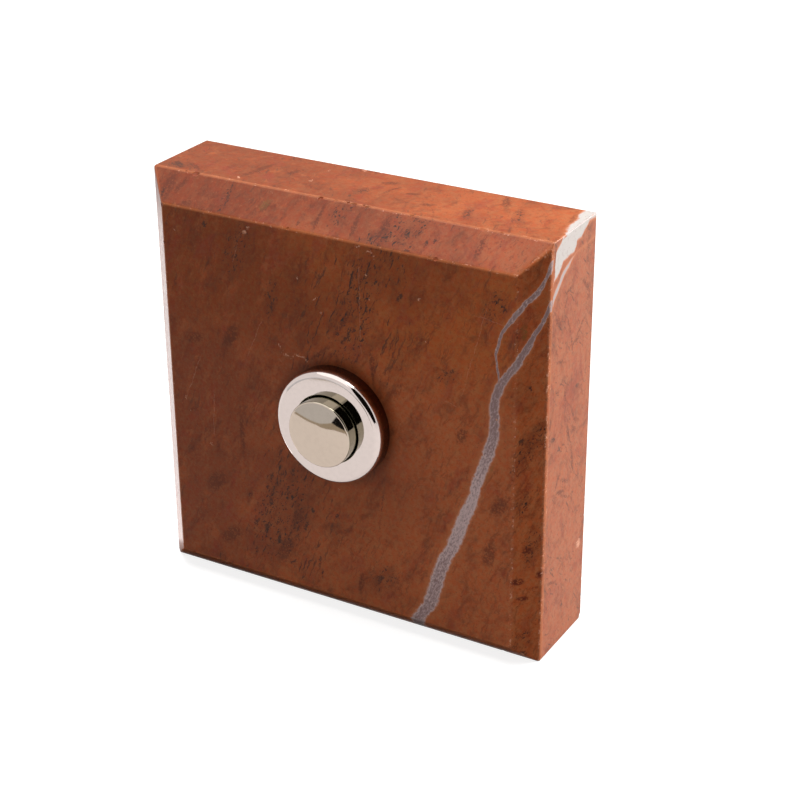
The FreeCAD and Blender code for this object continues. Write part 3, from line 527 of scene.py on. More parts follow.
@dataclass(frozen=True)
class Stone:
    """Honed red-brown marble with a pale vein, laid out in millimetres."""

    chamfers: Sequence[Chamfer]
    half: float = 37.5
    depth: float = 20.0
    brown: Colour = (0.285, 0.069, 0.024)
    orange: Colour = (0.50, 0.132, 0.043)
    dusk: Colour = (0.150, 0.038, 0.017)
    # Colour of the painted sheen on the right side.
    brick: Colour = (0.315, 0.054, 0.028)
    side_sheen: Colour = (0.43, 0.135, 0.061)
    ink: Colour = (0.056, 0.031, 0.023)
    pale: Colour = (0.80, 0.40, 0.26)
    vein_core: Colour = (0.33, 0.205, 0.20)
    vein_light: Colour = (0.72, 0.53, 0.52)
    vein_edge: Colour = (0.60, 0.27, 0.18)
    patch_white: Colour = (0.63, 0.585, 0.56)
    patch_lilac: Colour = (0.47, 0.38, 0.37)
    halo: Colour = (0.56, 0.18, 0.07)
    olive: Colour = (0.20, 0.105, 0.030)
    dust: Colour = (0.24, 0.120, 0.085)
    # Colour of the painted shadow round the flange's foot.
    clot: Colour = (0.120, 0.022, 0.013)
    flange_shadow: Colour = (0.045, 0.012, 0.005)
    high_tint: Colour = (1.0, 0.93, 0.66)
    chamfer_tint: Colour = (1.0, 0.90, 0.92)
    warm_tint: Colour = (1.02, 0.86, 0.78)
    cool_tint: Colour = (0.98, 1.13, 1.24)
    gloss: float = 0.11
    far: float = 9.0
    patch_left: float = 33.0
    patch_top: float = 37.0
    thread_left: float = 36.9
    edge_reach: float = 0.34
    dark_flecks: Tuple[Fleck, ...] = (
        *flecks(Face.front,
            (-24.2, 30.9, 60, 0.75, 0.4), (13.0, 25.2, 58, 1.3, 0.3), (13.9, 29.5, 100, 2.6, 0.14),
            (29.8, 27.9, 10, 1.0, 0.3), (31.6, 27.2, -40, 0.8, 0.25), (30.6, 28.4, 70, 0.6, 0.3),
            (-11.5, 18.6, 92, 1.6, 0.25), (-11.9, 20.6, 120, 0.7, 0.3), (3.3, 16.6, 62, 1.5, 0.36),
            (2.4, 15.4, 48, 0.9, 0.35), (4.4, 17.9, 70, 0.9, 0.25), (5.4, 23.8, 88, 3.0, 0.26),
            (7.6, 22.0, 80, 0.7, 0.2), (21.6, 13.9, -30, 0.9, 0.22), (22.4, 14.4, 40, 0.6, 0.2),
            (-12.8, -13.7, 72, 1.2, 0.36), (-13.7, -16.0, 75, 0.8, 0.3), (-13.1, -18.6, 80, 0.9, 0.42),
            (-14.2, -21.4, 60, 0.9, 0.28), (-16.4, -23.6, 60, 0.8, 0.35), (-6.0, -21.6, 66, 1.2, 0.36),
            (-4.5, -18.0, 90, 0.8, 0.42), (-11.6, -26.3, 35, 0.9, 0.3), (-9.4, -24.3, 70, 1.4, 0.24),
            (-16.6, -29.3, 80, 1.0, 0.3), (-9.0, -29.6, 35, 0.9, 0.3), (-3.3, -27.6, 80, 1.4, 0.26),
            (-2.9, -30.1, 90, 1.0, 0.2), (8.9, -27.9, 68, 1.2, 0.4), (-8.2, -11.6, 76, 2.4, 0.18),
            (-9.6, -16.8, 76, 2.2, 0.16), (9.5, -12.5, 82, 3.2, 0.13), (5.0, 12.9, 62, 2.0, 0.14),
            (-7.6, -22.4, 60, 0.8, 0.3), (0.4, -17.8, 80, 0.5, 0.3), (-14.0, -24.6, 70, 0.9, 0.2)),
        *flecks(Face.top_chamfer,
            (-33.6, 2.0, 80, 1.2, 0.3), (-21.0, 3.9, 91, 3.0, 0.2), (-20.9, 3.5, 70, 0.5, 0.35),
            (2.0, 5.8, 70, 0.7, 0.28), (0.6, 2.8, 90, 0.6, 0.25), (10.5, 5.8, 85, 0.6, 0.3),
            (11.2, 5.0, 75, 0.6, 0.2), (13.3, 2.9, -50, 0.7, 0.38), (14.5, 1.5, 60, 0.5, 0.3),
            (14.0, 0.4, 10, 0.7, 0.35), (16.9, 2.5, 75, 0.7, 0.35), (18.2, 2.9, 80, 0.8, 0.25),
            (29.1, 4.6, 85, 0.9, 0.16), (-6.3, 1.4, 70, 0.5, 0.2)),
        *flecks(Face.top,
            (0.1, -9.2, 30, 0.5, 0.42), (20.2, -10.8, 95, 1.8, 0.22), (28.3, -9.0, 88, 0.8, 0.25),
            (-0.5, -12.3, 110, 0.7, 0.2), (27.2, -6.3, 120, 1.0, 0.18), (-34.0, -13.0, -35, 2.0, 0.7)),
        *flecks(Face.right_chamfer,
            (2.5, 14.0, 100, 1.0, 0.3), (1.2, 4.6, 50, 0.9, 0.4), (2.2, 2.4, 55, 1.3, 0.3),
            (3.9, 6.6, 70, 1.8, 0.4), (3.0, 4.4, 60, 1.2, 0.3), (2.7, -13.4, 70, 0.6, 0.3),
            (2.3, -16.4, 72, 2.1, 0.17), (4.9, -17.5, -28, 1.3, 0.28), (2.8, -17.4, 27, 1.3, 0.22),
            (0.6, -6.8, 60, 0.5, 0.3), (2.5, -35.2, -20, 1.0, 0.5), (2.4, 28.4, 110, 0.5, 0.2)),
        *flecks(Face.right,
            (-13.6, 3.2, -20, 1.2, 0.45), (-5.1, 9.4, -15, 0.8, 0.35), (-15.2, -18.6, -20, 0.7, 0.25),
            (-8.3, -30.4, -40, 0.5, 0.28), (-13.9, -33.4, -30, 0.6, 0.22), (-11.2, 0.4, 10, 0.9, 0.3)),
    )
    wisps: Tuple[Fleck, ...] = (
        *flecks(Face.top_chamfer,
            (-33.0, 3.2, 84, 3.0, 1.3), (-30.6, 4.0, 70, 2.0, 0.6), (-3.1, 3.2, 88, 3.0, 0.45),
            (3.7, 3.2, 88, 3.0, 0.55), (9.0, 3.0, 88, 3.2, 0.95), (-13.4, 3.0, 60, 1.4, 0.6),
            (-28.6, 0.8, 20, 1.4, 0.5), (26.0, 3.6, 84, 2.4, 0.5)),
        *flecks(Face.front,
            (26.5, -12.0, 70, 3.0, 0.12), (2.4, 18.8, 58, 3.6, 0.5), (-20.0, 11.6, 60, 3.0, 1.4),
            (-27.6, 9.6, 20, 2.2, 1.0), (-2.0, 12.4, 40, 3.0, 0.35), (7.8, 11.8, 95, 4.0, 0.5),
            (-18.6, -7.0, 92, 5.0, 0.5), (29.6, -17.0, 75, 2.6, 1.2), (31.4, -7.6, 60, 2.0, 1.4),
            (-10.4, -27.4, 62, 3.4, 1.6), (-7.6, -20.6, 66, 3.0, 1.2), (5.0, -30.0, 85, 2.4, 0.6),
            (-22.0, -27.6, 40, 3.0, 1.4), (24.4, 3.6, 60, 1.6, 0.9), (-24.6, -17.6, 45, 3.0, 1.6)),
        *flecks(Face.right,
            (-11.5, -5.3, 60, 1.8, 0.35), (-8.6, -6.5, -30, 1.8, 0.3), (-9.0, 21.5, -62, 2.8, 0.20),
            (-7.6, 17.4, -75, 2.2, 0.28), (-4.6, 19.6, 38, 2.6, 0.24), (-3.0, 26.2, -48, 2.2, 0.5),
            (-10.4, 26.0, 70, 2.0, 0.28), (-9.4, 27.7, 12, 1.6, 0.3), (-13.0, 23.4, -50, 1.8, 0.6),
            (-6.2, 4.6, -62, 2.6, 0.30), (-6.0, -3.6, -78, 3.0, 0.42), (-10.2, -7.9, -20, 1.8, 0.5),
            (-8.2, -9.6, -28, 2.6, 0.26), (-11.8, 16.2, -18, 2.4, 0.3), (-6.6, 17.8, 8, 2.2, 0.34),
            (-9.6, 9.0, -80, 2.2, 0.22), (-8.0, 2.0, -70, 2.0, 0.5), (-12.6, -24.0, -20, 2.2, 0.3)),
        *flecks(Face.top,
            (-20.5, -9.0, 80, 4.5, 0.7), (4.0, -7.0, 75, 2.6, 0.3), (36.2, -5.4, 105, 4.6, 0.8),
            (23.0, -3.0, 115, 3.0, 0.7), (-14.6, -6.8, 70, 2.2, 0.7), (2.2, -4.0, 30, 1.6, 0.8),
            (8.0, -6.8, 20, 1.2, 0.6), (12.6, -10.0, 20, 1.4, 0.6), (-31.0, -12.6, -30, 3.0, 0.5)),
    )
    fields: Tuple[Fleck, ...] = (
        *flecks(Face.front,
            (-11.0, -20.5, 68, 12.0, 5.5), (4.5, 20.0, 72, 14.0, 4.0), (9.5, -27.5, 40, 3.5, 2.5),
            (-18.0, 27.5, 65, 6.0, 2.5), (30.0, 27.0, 60, 3.5, 2.0), (22.0, 13.5, 20, 2.5, 1.2),
            (-11.5, 20.0, 80, 4.0, 1.5)),
        *flecks(Face.right_chamfer,
            (2.8, 3.5, 60, 6.5, 1.9), (3.4, -15.0, 80, 5.0, 1.6), (2.0, -33.0, 60, 3.0, 1.5),
            (2.0, -7.0, 80, 3.0, 1.0)),
        *flecks(Face.top_chamfer,
            (12.0, 3.2, 40, 8.0, 2.6), (0.0, 4.0, 80, 3.0, 1.6), (-21.0, 3.0, 85, 3.0, 1.2)),
        *flecks(Face.top,
            (20.2, -10.8, 110, 3.0, 1.0), (27.6, -7.6, 110, 3.0, 1.2), (-33.5, -13.0, 0, 3.5, 1.5),
            (0.0, -9.5, 60, 2.5, 1.0)),
    )
    clots: Tuple[Fleck, ...] = (
        *flecks(Face.right_chamfer,
            (2.8, -15.4, 0, 1.0, 0.9), (5.2, -20.3, 0, 1.0, 0.8), (1.2, -21.2, 0, 1.4, 0.6),
            (4.3, -22.8, 5, 1.2, 0.5), (2.2, -24.6, -10, 1.4, 0.45), (4.4, -6.2, 60, 1.2, 0.5)),
    )
    pale_flecks: Tuple[Fleck, ...] = (
        *flecks(Face.front,
            (-16.3, 30.9, 60, 0.42, 0.38), (-15.6, 31.7, 0, 0.35, 0.28), (6.8, 28.0, 0, 0.22, 0.22),
            (16.6, 25.6, 40, 0.32, 0.22), (-6.2, 24.7, 0, 0.25, 0.22), (7.5, 23.8, 0, 0.2, 0.17),
            (-1.8, 19.5, 0, 0.22, 0.2), (17.8, 18.7, 0, 0.18, 0.18), (-30.5, 28.7, 0, 0.25, 0.22),
            (5.4, 32.4, -5, 0.6, 0.14), (7.4, 31.9, 10, 0.8, 0.16), (8.4, 31.2, 60, 0.5, 0.14),
            (-25.3, -10.3, -20, 0.5, 0.2), (-30.2, -2.3, 50, 0.4, 0.22), (-29.4, -4.9, 0, 0.2, 0.2),
            (-2.9, 21.8, 36, 0.9, 0.12), (0.9, -12.6, 0, 0.2, 0.2), (30.6, 8.0, 0, 0.2, 0.2),
            (-8.9, 10.4, 5, 0.7, 0.16), (-10.2, 11.8, -62, 0.5, 0.13), (-7.8, 10.2, 35, 0.5, 0.13),
            (-6.2, 10.8, -6, 1.1, 0.15), (-4.9, 10.3, -60, 0.5, 0.13), (-9.7, 10.9, 70, 0.4, 0.1)),
        *flecks(Face.right,
            (-2.2, -21.6, 20, 0.9, 0.9)),
        *flecks(Face.top_chamfer,
            (-13.2, 5.9, 0, 0.25, 0.2)),
        *flecks(Face.top,
            (-10.0, -9.2, -60, 0.5, 0.25), (-9.9, -3.7, -60, 0.6, 0.15), (-4.7, -0.6, 90, 0.5, 0.3),
            (-21.4, -13.6, -60, 0.5, 0.25)),
    )
    scratches: Tuple[Fleck, ...] = (
        *flecks(Face.front,
            (5.6, 22.6, 91, 10.5, 0.11), (26.6, 19.2, 75, 10.5, 0.10), (28.9, 24.7, -7, 3.8, 0.11),
            (22.2, 8.8, -17, 1.3, 0.10), (-15.0, 12.4, 66, 4.8, 0.10), (-28.2, 2.2, 68, 4.6, 0.12),
            (-24.4, -4.4, 86, 5.4, 0.10), (-18.4, 26.6, 72, 3.4, 0.09), (-9.6, 8.6, -50, 1.6, 0.08)),
    )
    stains: Tuple[Fleck, ...] = (
        *flecks(Face.right_chamfer,
            (1.3, 23.5, 90, 1.4, 0.5), (3.1, 27.6, 45, 0.8, 0.3)),
        *flecks(Face.top_chamfer,
            (-13.6, 3.4, 60, 1.3, 0.7)),
        *flecks(Face.front,
            (29.0, -2.5, 62, 3.0, 0.35)),
    )
    vein_line: Tuple[Point, ...] = (
        (-37.5, 14.6), (-33.0, 16.5), (-30.0, 18.4), (-27.5, 19.3), (-25.0, 19.9), (-20.0, 21.5),
        (-17.5, 22.9), (-15.0, 23.7), (-10.0, 25.5), (-7.5, 26.5), (-5.0, 27.1), (-2.5, 27.8),
        (0.0, 28.7), (2.5, 29.5), (5.0, 30.1), (7.5, 30.2), (10.0, 30.1), (12.5, 30.6), (15.0, 31.7),
        (17.5, 33.3), (20.0, 34.7), (22.5, 35.6), (25.0, 36.7), (28.6, 37.9), (37.5, 41.0),
    )
    vein_width: Tuple[Point, ...] = (
        (-37.5, 1.0), (-30.0, 1.15), (-20.0, 1.1), (-10.0, 1.05), (-5.0, 0.85), (0.0, 0.95), (5.0, 0.85),
        (10.0, 0.75), (15.0, 0.68), (20.0, 0.45), (25.0, 0.28), (37.5, 0.25),
    )
    vein_glow: Tuple[Point, ...] = (
        (-37.5, 0.15), (-30.0, 0.3), (-22.0, 0.4), (-10.0, 0.8), (-2.0, 0.55), (5.0, 0.2), (12.0, 0.0),
        (37.5, 0.05),
    )
    branch_line: Tuple[Point, ...] = (
        (13.0, 30.9), (15.5, 30.8), (17.5, 30.4), (20.0, 30.4), (22.5, 31.1), (25.0, 32.6), (27.5, 34.2),
        (30.0, 36.1), (31.2, 36.7), (33.4, 37.3), (37.5, 38.5),
    )
    branch_width: Tuple[Point, ...] = (
        (13.0, 0.05), (16.0, 0.15), (21.0, 0.22), (24.0, 0.32), (26.0, 0.45), (29.0, 0.42), (32.0, 0.22),
        (37.5, 0.2),
    )
    side_low: Tuple[Point, ...] = (
        (-15.4, 30.9), (-13.6, 31.6), (-12.7, 32.4), (-11.7, 33.1), (-9.6, 33.5), (-8.4, 33.4), (-7.6, 33.8),
        (-7.1, 35.0), (-5.6, 35.1), (-4.5, 35.8), (-3.6, 36.2), (-2.7, 36.8), (0.0, 36.5),
    )
    side_high: Tuple[Point, ...] = (
        (-15.4, 31.0), (-14.9, 32.1), (-14.7, 34.6), (-14.3, 36.2), (-13.6, 36.5), (-12.0, 37.6),
        (-11.0, 39.0), (0.0, 39.5),
    )
    side_thread: Tuple[Point, ...] = (
        (-15.4, 27.6), (-14.6, 28.6), (-13.4, 29.7), (-12.6, 30.5), (-11.5, 31.2), (-9.9, 32.0),
        (-8.4, 32.75), (0.0, 33.5),
    )
    thread_width: Tuple[Point, ...] = (
        (-15.4, 0.85), (-12.5, 0.75), (-10.0, 0.5), (-8.4, 0.15), (-7.5, 0.0), (0.0, 0.0),
    )
    top_edge: Tuple[Point, ...] = (
        (-15.4, 36.8), (-12.3, 36.9), (-11.9, 37.4), (-10.9, 37.1), (-7.6, 36.2), (-4.8, 36.1), (-1.9, 35.3),
        (0.0, 35.6),
    )

    def material(self, push_axis: Point, push_radius: float) -> bpy.types.Material:
        """The whole material, from the ground colour to the wear and painted highlights on its arrises and
        the painted shadow round the flange.

        Args:
            push_axis: X and Z of the push's axis, in metres.
            push_radius: The flange's radius, in metres.

        Returns:
            The material.
        """
        material, graph, shader, place = new_material("marble")
        warp = graph.vector("SUBTRACT", graph.noise(place, 0.45, 3.0, 0.6, output="Color"), (0.5, 0.5, 0.5))
        torn = graph.vector("SUBTRACT", graph.noise(place, 1.9, 4.0, 0.7, output="Color"), (0.5, 0.5, 0.5))
        near = graph.vector("ADD", place, graph.vector("SCALE", warp, scale=1.5))
        ragged = graph.vector("ADD", place, graph.vector("SCALE", torn, scale=1.5))
        calm = graph.vector("ADD", place, graph.vector("SCALE", warp, scale=0.8))
        colour = self.ground(graph, place, near)
        layers = ((self.wisps, ragged, self.dusk, 0.75), (self.clots, calm, self.clot, 0.9),
                  (self.stains, ragged, self.olive, 0.7), (self.dark_flecks, ragged, self.ink, 0.85))
        colour = self.marks(graph, colour, layers, place)
        field = self.total(graph, self.fields, ragged)
        colour = graph.mix(graph.times(field, 0.22), colour, self.dusk)
        for turn, reach in ((-66.0, (1.1, 0.6, 0.40)), (-48.0, (0.8, 0.5, 0.30))):
            drawn = graph.drawn(near, (0.0, turn, 0.0), reach)
            specks = graph.smooth(graph.noise(drawn, 1.0, 3.0, 0.6), 0.59, 0.66)
            colour = graph.mix(graph.times(specks, field), colour, self.ink)
        colour, vein = self.veins(graph, place, calm, colour)
        layers = ((self.scratches, calm, self.pale, 0.22), (self.pale_flecks, ragged, self.pale, 0.85))
        colour = self.marks(graph, colour, layers, place)
        edge, broken = self.wear_and_arris_light(graph, place)
        # Painted highlight: a lighter line along the arrises. Painted shade: the white patch is darkened at
        # the arrises to damp their highlight.
        red = graph.less(1.0, vein)
        colour = graph.mix(graph.times(edge, red, 0.45), colour, self.halo)
        colour = graph.mix(graph.times(edge, vein, 0.8), colour, self.patch_lilac)
        colour = graph.mix(broken, colour, self.pale)
        # Painted shadow: the stone is darkened round the flange's foot, where the flange shades it.
        colour = graph.mix(self.ring(graph, place, push_axis, push_radius), colour, self.flange_shadow)
        sawn = Zone.sawn_back.mask(graph, place)
        colour = graph.mix(graph.times(sawn, 0.65), colour, self.dust)
        chamfers = graph.times(Zone.past_front.mask(graph, place), Zone.before_sides.mask(graph, place))
        upper = Zone.upper_left.mask(graph, place)
        colour = graph.mix(graph.times(chamfers, upper), colour, self.chamfer_tint, "MULTIPLY")
        graph.feed(shader.inputs["Base Color"], colour)
        fine = graph.noise(place, 1.3, 3.0, 0.6)
        rough = graph.scaled(broken, 0.25, graph.scaled(fine, 0.22, 0.24))
        graph.feed(shader.inputs["Roughness"], graph.scaled(sawn, 0.35, rough, clamp=True))
        polish = graph.times(chamfers, graph.scaled(upper, 0.17, -0.08))
        shader.inputs["Specular IOR Level"].default_value = self.gloss
        graph.feed(shader.inputs["Specular IOR Level"], graph.math("ADD", polish, self.gloss))
        relief = graph.scaled(vein, 0.35, graph.times(fine, 0.35))
        bump = graph.node("Bump", {"Strength": 0.22, "Distance": 0.00006, "Height": relief})
        graph.feed(shader.inputs["Normal"], bump.outputs[0])
        return material

    def ground(self, graph: Graph, place: Value, near: Value) -> Socket:
        """Cloudy brown ground, more orange to the right and lower down as painted light on top of the
        stone's own tone, with darker mottles and drawn-out streaks.

        Args:
            graph: The material's graph.
            place: The place in millimetres.
            near: The same, slightly warped.

        Returns:
            The colour.
        """
        broad = graph.noise(place, 0.06, 3.0, 0.55, 0.4)
        # Painted light: the ground grows more orange and brighter to the right and lower down.
        light_slope = graph.along(place, (0.0135, 0.0, -0.006))
        share = graph.smooth(graph.scaled(broad, 1.5, light_slope), 0.30, 1.22)
        colour = graph.mix(share, self.brown, self.orange)
        ahead, high = Zone.front.mask(graph, place), Zone.high.mask(graph, place)
        colour = graph.mix(graph.times(high, ahead), colour, self.high_tint, "MULTIPLY")
        behind, beside = Zone.sides.mask(graph, place), Zone.beside.mask(graph, place)
        # Painted sheen: the right side is tinted rose for the sheen it shows.
        colour = graph.mix(graph.times(beside, 0.8), colour, self.side_sheen)
        drawn = graph.drawn(near, (0.0, -62.0, 0.0), (5.5, 3.2, 2.4))
        mottle = graph.noise(drawn, 1.0, 7.0, 0.70, 0.6)
        colour = graph.mix(graph.smooth(mottle, 0.46, 0.73, 0.72), colour, self.dusk)
        blush = graph.noise(graph.vector("ADD", drawn, (17.0, 3.0, 41.0)), 0.55, 6.0, 0.66, 0.8)
        colour = graph.mix(graph.smooth(blush, 0.50, 0.68, 0.5), colour, self.brick)
        glow = graph.noise(graph.vector("ADD", drawn, (53.0, 29.0, 11.0)), 1.3, 5.0, 0.65)
        colour = graph.mix(graph.smooth(glow, 0.50, 0.72, 0.45), colour, self.orange)
        specks = graph.noise(place, 2.1, 4.0, 0.75)
        colour = graph.mix(graph.smooth(specks, 0.54, 0.72, 0.7), colour, self.dusk)
        colour = graph.mix(graph.smooth(specks, 0.44, 0.28, 0.35), colour, self.halo)
        cool = graph.noise(graph.vector("ADD", place, (7.0, 19.0, 2.0)), 1.1, 6.0, 0.72)
        tint = graph.mix(graph.smooth(cool, 0.38, 0.62), self.warm_tint, self.cool_tint)
        colour = graph.mix(1.0, colour, tint, "MULTIPLY")
        return self.streaks(graph, near, colour, behind, beside)

    def streaks(self, graph: Graph, near: Value, colour: Value, behind: Value, beside: Value) -> Socket:
        """Dark streaks and threads, in each face's own direction.

        Args:
            graph: The material's graph.
            near: The place in millimetres, slightly warped.
            colour: The colour so far.
            behind: 1 behind the chamfers, 0 on the front and the chamfers.
            beside: 1 on the right side.

        Returns:
            The new colour.
        """
        away = graph.along(near, (0.94, 0.0, -0.344))
        lane = graph.smooth(graph.math("ABSOLUTE", graph.math("ADD", away, 2.8)), 13.0, 3.0)
        ahead = graph.less(1.0, behind)
        above = graph.times(behind, graph.less(1.0, beside))
        for group, turn, reach, mask, strength in (
                (streak_group(), (0.0, -70.0, 0.0), (5.0, 1.4, 0.55),
                 graph.times(ahead, graph.scaled(lane, 0.65, 0.35)), 0.95),
                (thread_group(), (0.0, -64.0, 0.0), (12.0, 6.0, 3.6), ahead, 0.38),
                (streak_group(), (0.0, 0.0, -62.0), (4.5, 0.5, 1.5), above, 0.45),
                (streak_group(), (-48.0, 0.0, 0.0), (1.5, 3.0, 0.5), beside, 0.6),
                (thread_group(), (-62.0, 0.0, 0.0), (6.0, 9.0, 3.0), beside, 0.45)):
            made = graph.placed(group, Vector=near, Drawn=graph.drawn(near, turn, reach)).outputs[0]
            share = graph.times(made, mask, strength)
            colour = graph.mix(share, colour, self.ink if group.name == "streaks" else self.dusk)
        return colour

    def veins(self, graph: Graph, place: Value, near: Value, colour: Value) -> Tuple[Socket, Socket]:
        """The main vein and its branch, as sheets through the block.

        Args:
            graph: The material's graph.
            place: The place in millimetres.
            near: The same, slightly warped.
            colour: The colour so far.

        Returns:
            The new colour, and the veins' mask.
        """
        x, y, z = graph.node("SeparateXYZ", {0: near}).outputs
        ahead = Zone.ahead_of_sides.mask(graph, near)
        speckle = graph.noise(graph.drawn(place, (0.0, -68.0, 0.0), (0.7, 0.5, 0.30)), 1.0, 4.0, 0.75)
        grit = graph.noise(graph.vector("ADD", place, (5.0, 9.0, 1.0)), 1.3, 3.0, 0.6)
        total: Value = 0.0
        for line, low, high, widths, floor in ((self.vein_line, 10.0, 45.0, self.vein_width, -99.0),
                                               (self.branch_line, 25.0, 42.0, self.branch_width, 14.0)):
            middle = graph.curve(z, line, low, high)
            half = graph.curve(z, widths, 0.0, 1.2)
            share = graph.math("DIVIDE", graph.gap(x, middle), half)
            share = graph.scaled(graph.less(grit, 0.5), 0.75, share)
            share = graph.math("ADD", share, graph.smooth(z, floor + 0.5, floor - 0.5, self.far))
            share = graph.math("ADD", share, graph.scaled(ahead, -self.far, self.far))
            colour = graph.mix(graph.smooth(share, 2.3, 1.1, 0.5), colour, self.halo)
            colour = graph.mix(graph.smooth(share, 1.38, 1.12, 0.85), colour, self.vein_edge)
            glow = graph.math("ADD", graph.curve(z, self.vein_glow, 0.0, 1.0),
                              graph.scaled(speckle, 5.0, -2.5), clamp=True)
            rim = graph.smooth(share, 0.62, 1.0, 0.5)
            core = graph.mix(graph.math("ADD", glow, rim, clamp=True), self.vein_core, self.vein_light)
            colour = graph.mix(graph.smooth(share, 1.15, 0.92), colour, core)
            total = graph.math("MAXIMUM", total, graph.smooth(share, 1.3, 1.0))
        return self.side_vein(graph, (x, y, z), ahead, speckle, grit, colour, total)

    def side_vein(self, graph: Graph, place: Sequence[Value], ahead: Value, speckle: Value, grit: Value,
                  colour: Value, total: Value) -> Tuple[Socket, Socket]:
        """The vein's white patch on the block's right side and top, and the thread under it.

        Args:
            graph: The material's graph.
            place: The place's three parts in millimetres.
            ahead: 1 in front of the sides' front arrises, 0 behind them.
            speckle: Fine noise.
            grit: Coarser noise.
            colour: The colour so far.
            total: The veins' mask so far.

        Returns:
            The new colour, and the veins' mask.
        """
        x, y, z = place
        above = graph.less(z, graph.curve(y, self.side_low, 30.0, 38.0))
        below = graph.less(graph.curve(y, self.side_high, 30.0, 40.0), z)
        outside = graph.less(x, graph.curve(y, self.top_edge, 35.0, 38.0))
        outside = graph.math("MAXIMUM", outside, graph.scaled(z, -self.far, self.far * self.patch_top))
        inside = graph.math("MINIMUM", graph.math("MINIMUM", above, below), outside)
        inside = graph.scaled(graph.less(grit, 0.5), 0.7, inside)
        away = graph.gap(z, graph.curve(y, self.side_thread, 27.0, 34.0))
        thread = graph.less(graph.curve(y, self.thread_width, 0.0, 1.0), away)
        thread = graph.math("MINIMUM", thread, graph.less(x, self.thread_left))
        inside = graph.math("MAXIMUM", inside, thread)
        inside = graph.scaled(ahead, -self.far, inside)
        inside = graph.math("MINIMUM", inside, graph.less(x, self.patch_left))
        colour = graph.mix(graph.smooth(inside, -0.8, 0.0, 0.6), colour, self.halo)
        colour = graph.mix(graph.smooth(inside, -0.12, 0.12), colour, self.vein_edge)
        veiled = graph.smooth(thread, -0.2, 0.2, 0.8)
        lilac = graph.math("MAXIMUM", graph.smooth(speckle, 0.47, 0.35, 0.6), veiled)
        core = graph.mix(lilac, self.patch_white, self.patch_lilac)
        colour = graph.mix(graph.smooth(inside, 0.08, 0.4), colour, core)
        return colour, graph.math("MAXIMUM", total, graph.smooth(inside, -0.1, 0.2))

    def marks(self, graph: Graph, colour: Value, layers: Sequence[Layer], place: Value) -> Socket:
        """Marks laid over a colour.

        Args:
            graph: The material's graph.
            colour: The colour so far.
            layers: The marks of each layer, where they are read, their colour and strength.
            place: The place in millimetres.

        Returns:
            The new colour.
        """
        patchy = graph.noise(graph.vector("ADD", place, (9.0, 4.0, 2.0)), 2.6, 3.0, 0.7)
        broken = graph.smooth(patchy, 0.36, 0.52)
        for marks, where, tint, strength in layers:
            share = graph.times(self.total(graph, marks, where), broken, strength)
            colour = graph.mix(share, colour, tint)
        return colour

    def total(self, graph: Graph, marks: Sequence[Fleck], where: Value) -> Value:
        """The mask of all of these marks together.

        Args:
            graph: The material's graph.
            marks: The marks.
            where: Where they are read.

        Returns:
            The mask.
        """
        total: Value = 0.0
        for fleck in marks:
            middle, along = fleck.place()
            sizes = {"Half Length": fleck.half_length, "Half Width": fleck.half_width}
            mask = graph.placed(mark_group(), Vector=where, Middle=middle, Along=along, **sizes)
            total = graph.math("MAXIMUM", total, mask.outputs[0])
        return total

    def wear_and_arris_light(self, graph: Graph, place: Value) -> Tuple[Socket, Socket]:
        """Masks of the arrises, which carry a painted highlight and painted shade, and of their bruised
        places, from the distances to the block's faces.

        Args:
            graph: The material's graph.
            place: The place in millimetres.

        Returns:
            The mask of the arrises for the painted highlight and shade, and of their bruised places.
        """
        planes = [((1, 0, 0), self.half), ((-1, 0, 0), self.half), ((0, 0, 1), self.half),
                  ((0, 0, -1), self.half), ((0, -1, 0), self.depth), ((0, 1, 0), 0.0)]
        for side, face, deep in self.chamfers:
            normal = (Vector(side) * deep + Vector((0, -1, 0)) * face).normalized()
            on_face = Vector(side) * (self.half - face) + Vector((0, -self.depth, 0))
            planes.append((tuple(normal), normal.dot(on_face)))
        total: Value = -1.0
        for normal, distance in planes:
            gap = graph.less(distance, graph.along(place, normal))
            total = graph.math("ADD", total, graph.smooth(gap, self.edge_reach, 0.0))
        patchy = graph.noise(place, 1.4, 5.0, 0.75)
        dotted = Zone.right_arris.mask(graph, place)
        bound = graph.less(0.57, graph.times(dotted, graph.smooth(total, 0.1, 0.6, 0.022)))
        patchy = graph.smooth(graph.less(patchy, bound), 0.0, 0.10, 0.8)
        bruised = graph.times(graph.smooth(total, 0.05, 0.5), patchy)
        edge = graph.times(graph.smooth(total, 0.25, 0.85), graph.scaled(dotted, -0.6, 1.0))
        return edge, bruised

    def ring(self, graph: Graph, place: Value, axis: Point, radius: float) -> Socket:
        """A mask of the painted shadow round the flange's foot.

        Args:
            graph: The material's graph.
            place: The place in millimetres.
            axis: X and Z of the flange's axis, in metres.
            radius: The flange's radius, in metres.

        Returns:
            The mask.
        """
        past = graph.less(from_axis(graph, place, axis), radius / MM)
        return graph.times(Zone.round_flange.mask(graph, place), graph.smooth(past, 2.9, -1.1, 0.66))


@dataclass(frozen=True)
class Metal:
    """A metal or its plating, with fine marks from use. It has no relief up to the mirror's roughness."""

    name: str
    colour: Colour
    roughness: float
    marks: float = 0.05
    grain: float = 1.0
    shade: float = 0.9
    mirror: float = 0.15

    def material(self) -> bpy.types.Material:
        """The metal, slightly uneven in colour and polish.

        Returns:
            The material.
        """
        material, graph, shader, place = new_material(self.name)
        grain = graph.placed(grain_group(), Vector=place, Scale=self.grain)
        dim = tuple(part * self.shade for part in self.colour)
        mask = graph.smooth(grain.outputs["Coarse"], 0.40, 0.70)
        graph.feed(shader.inputs["Base Color"], graph.mix(mask, self.colour, dim))
        shader.inputs["Metallic"].default_value = 1.0
        rough = graph.scaled(grain.outputs["Fine"], self.marks, self.roughness)
        graph.feed(shader.inputs["Roughness"], rough)
        if self.roughness > self.mirror:
            relief = {"Strength": 0.12, "Distance": 0.00002, "Height": grain.outputs["Fine"]}
            graph.feed(shader.inputs["Normal"], graph.node("Bump", relief).outputs[0])
        return material


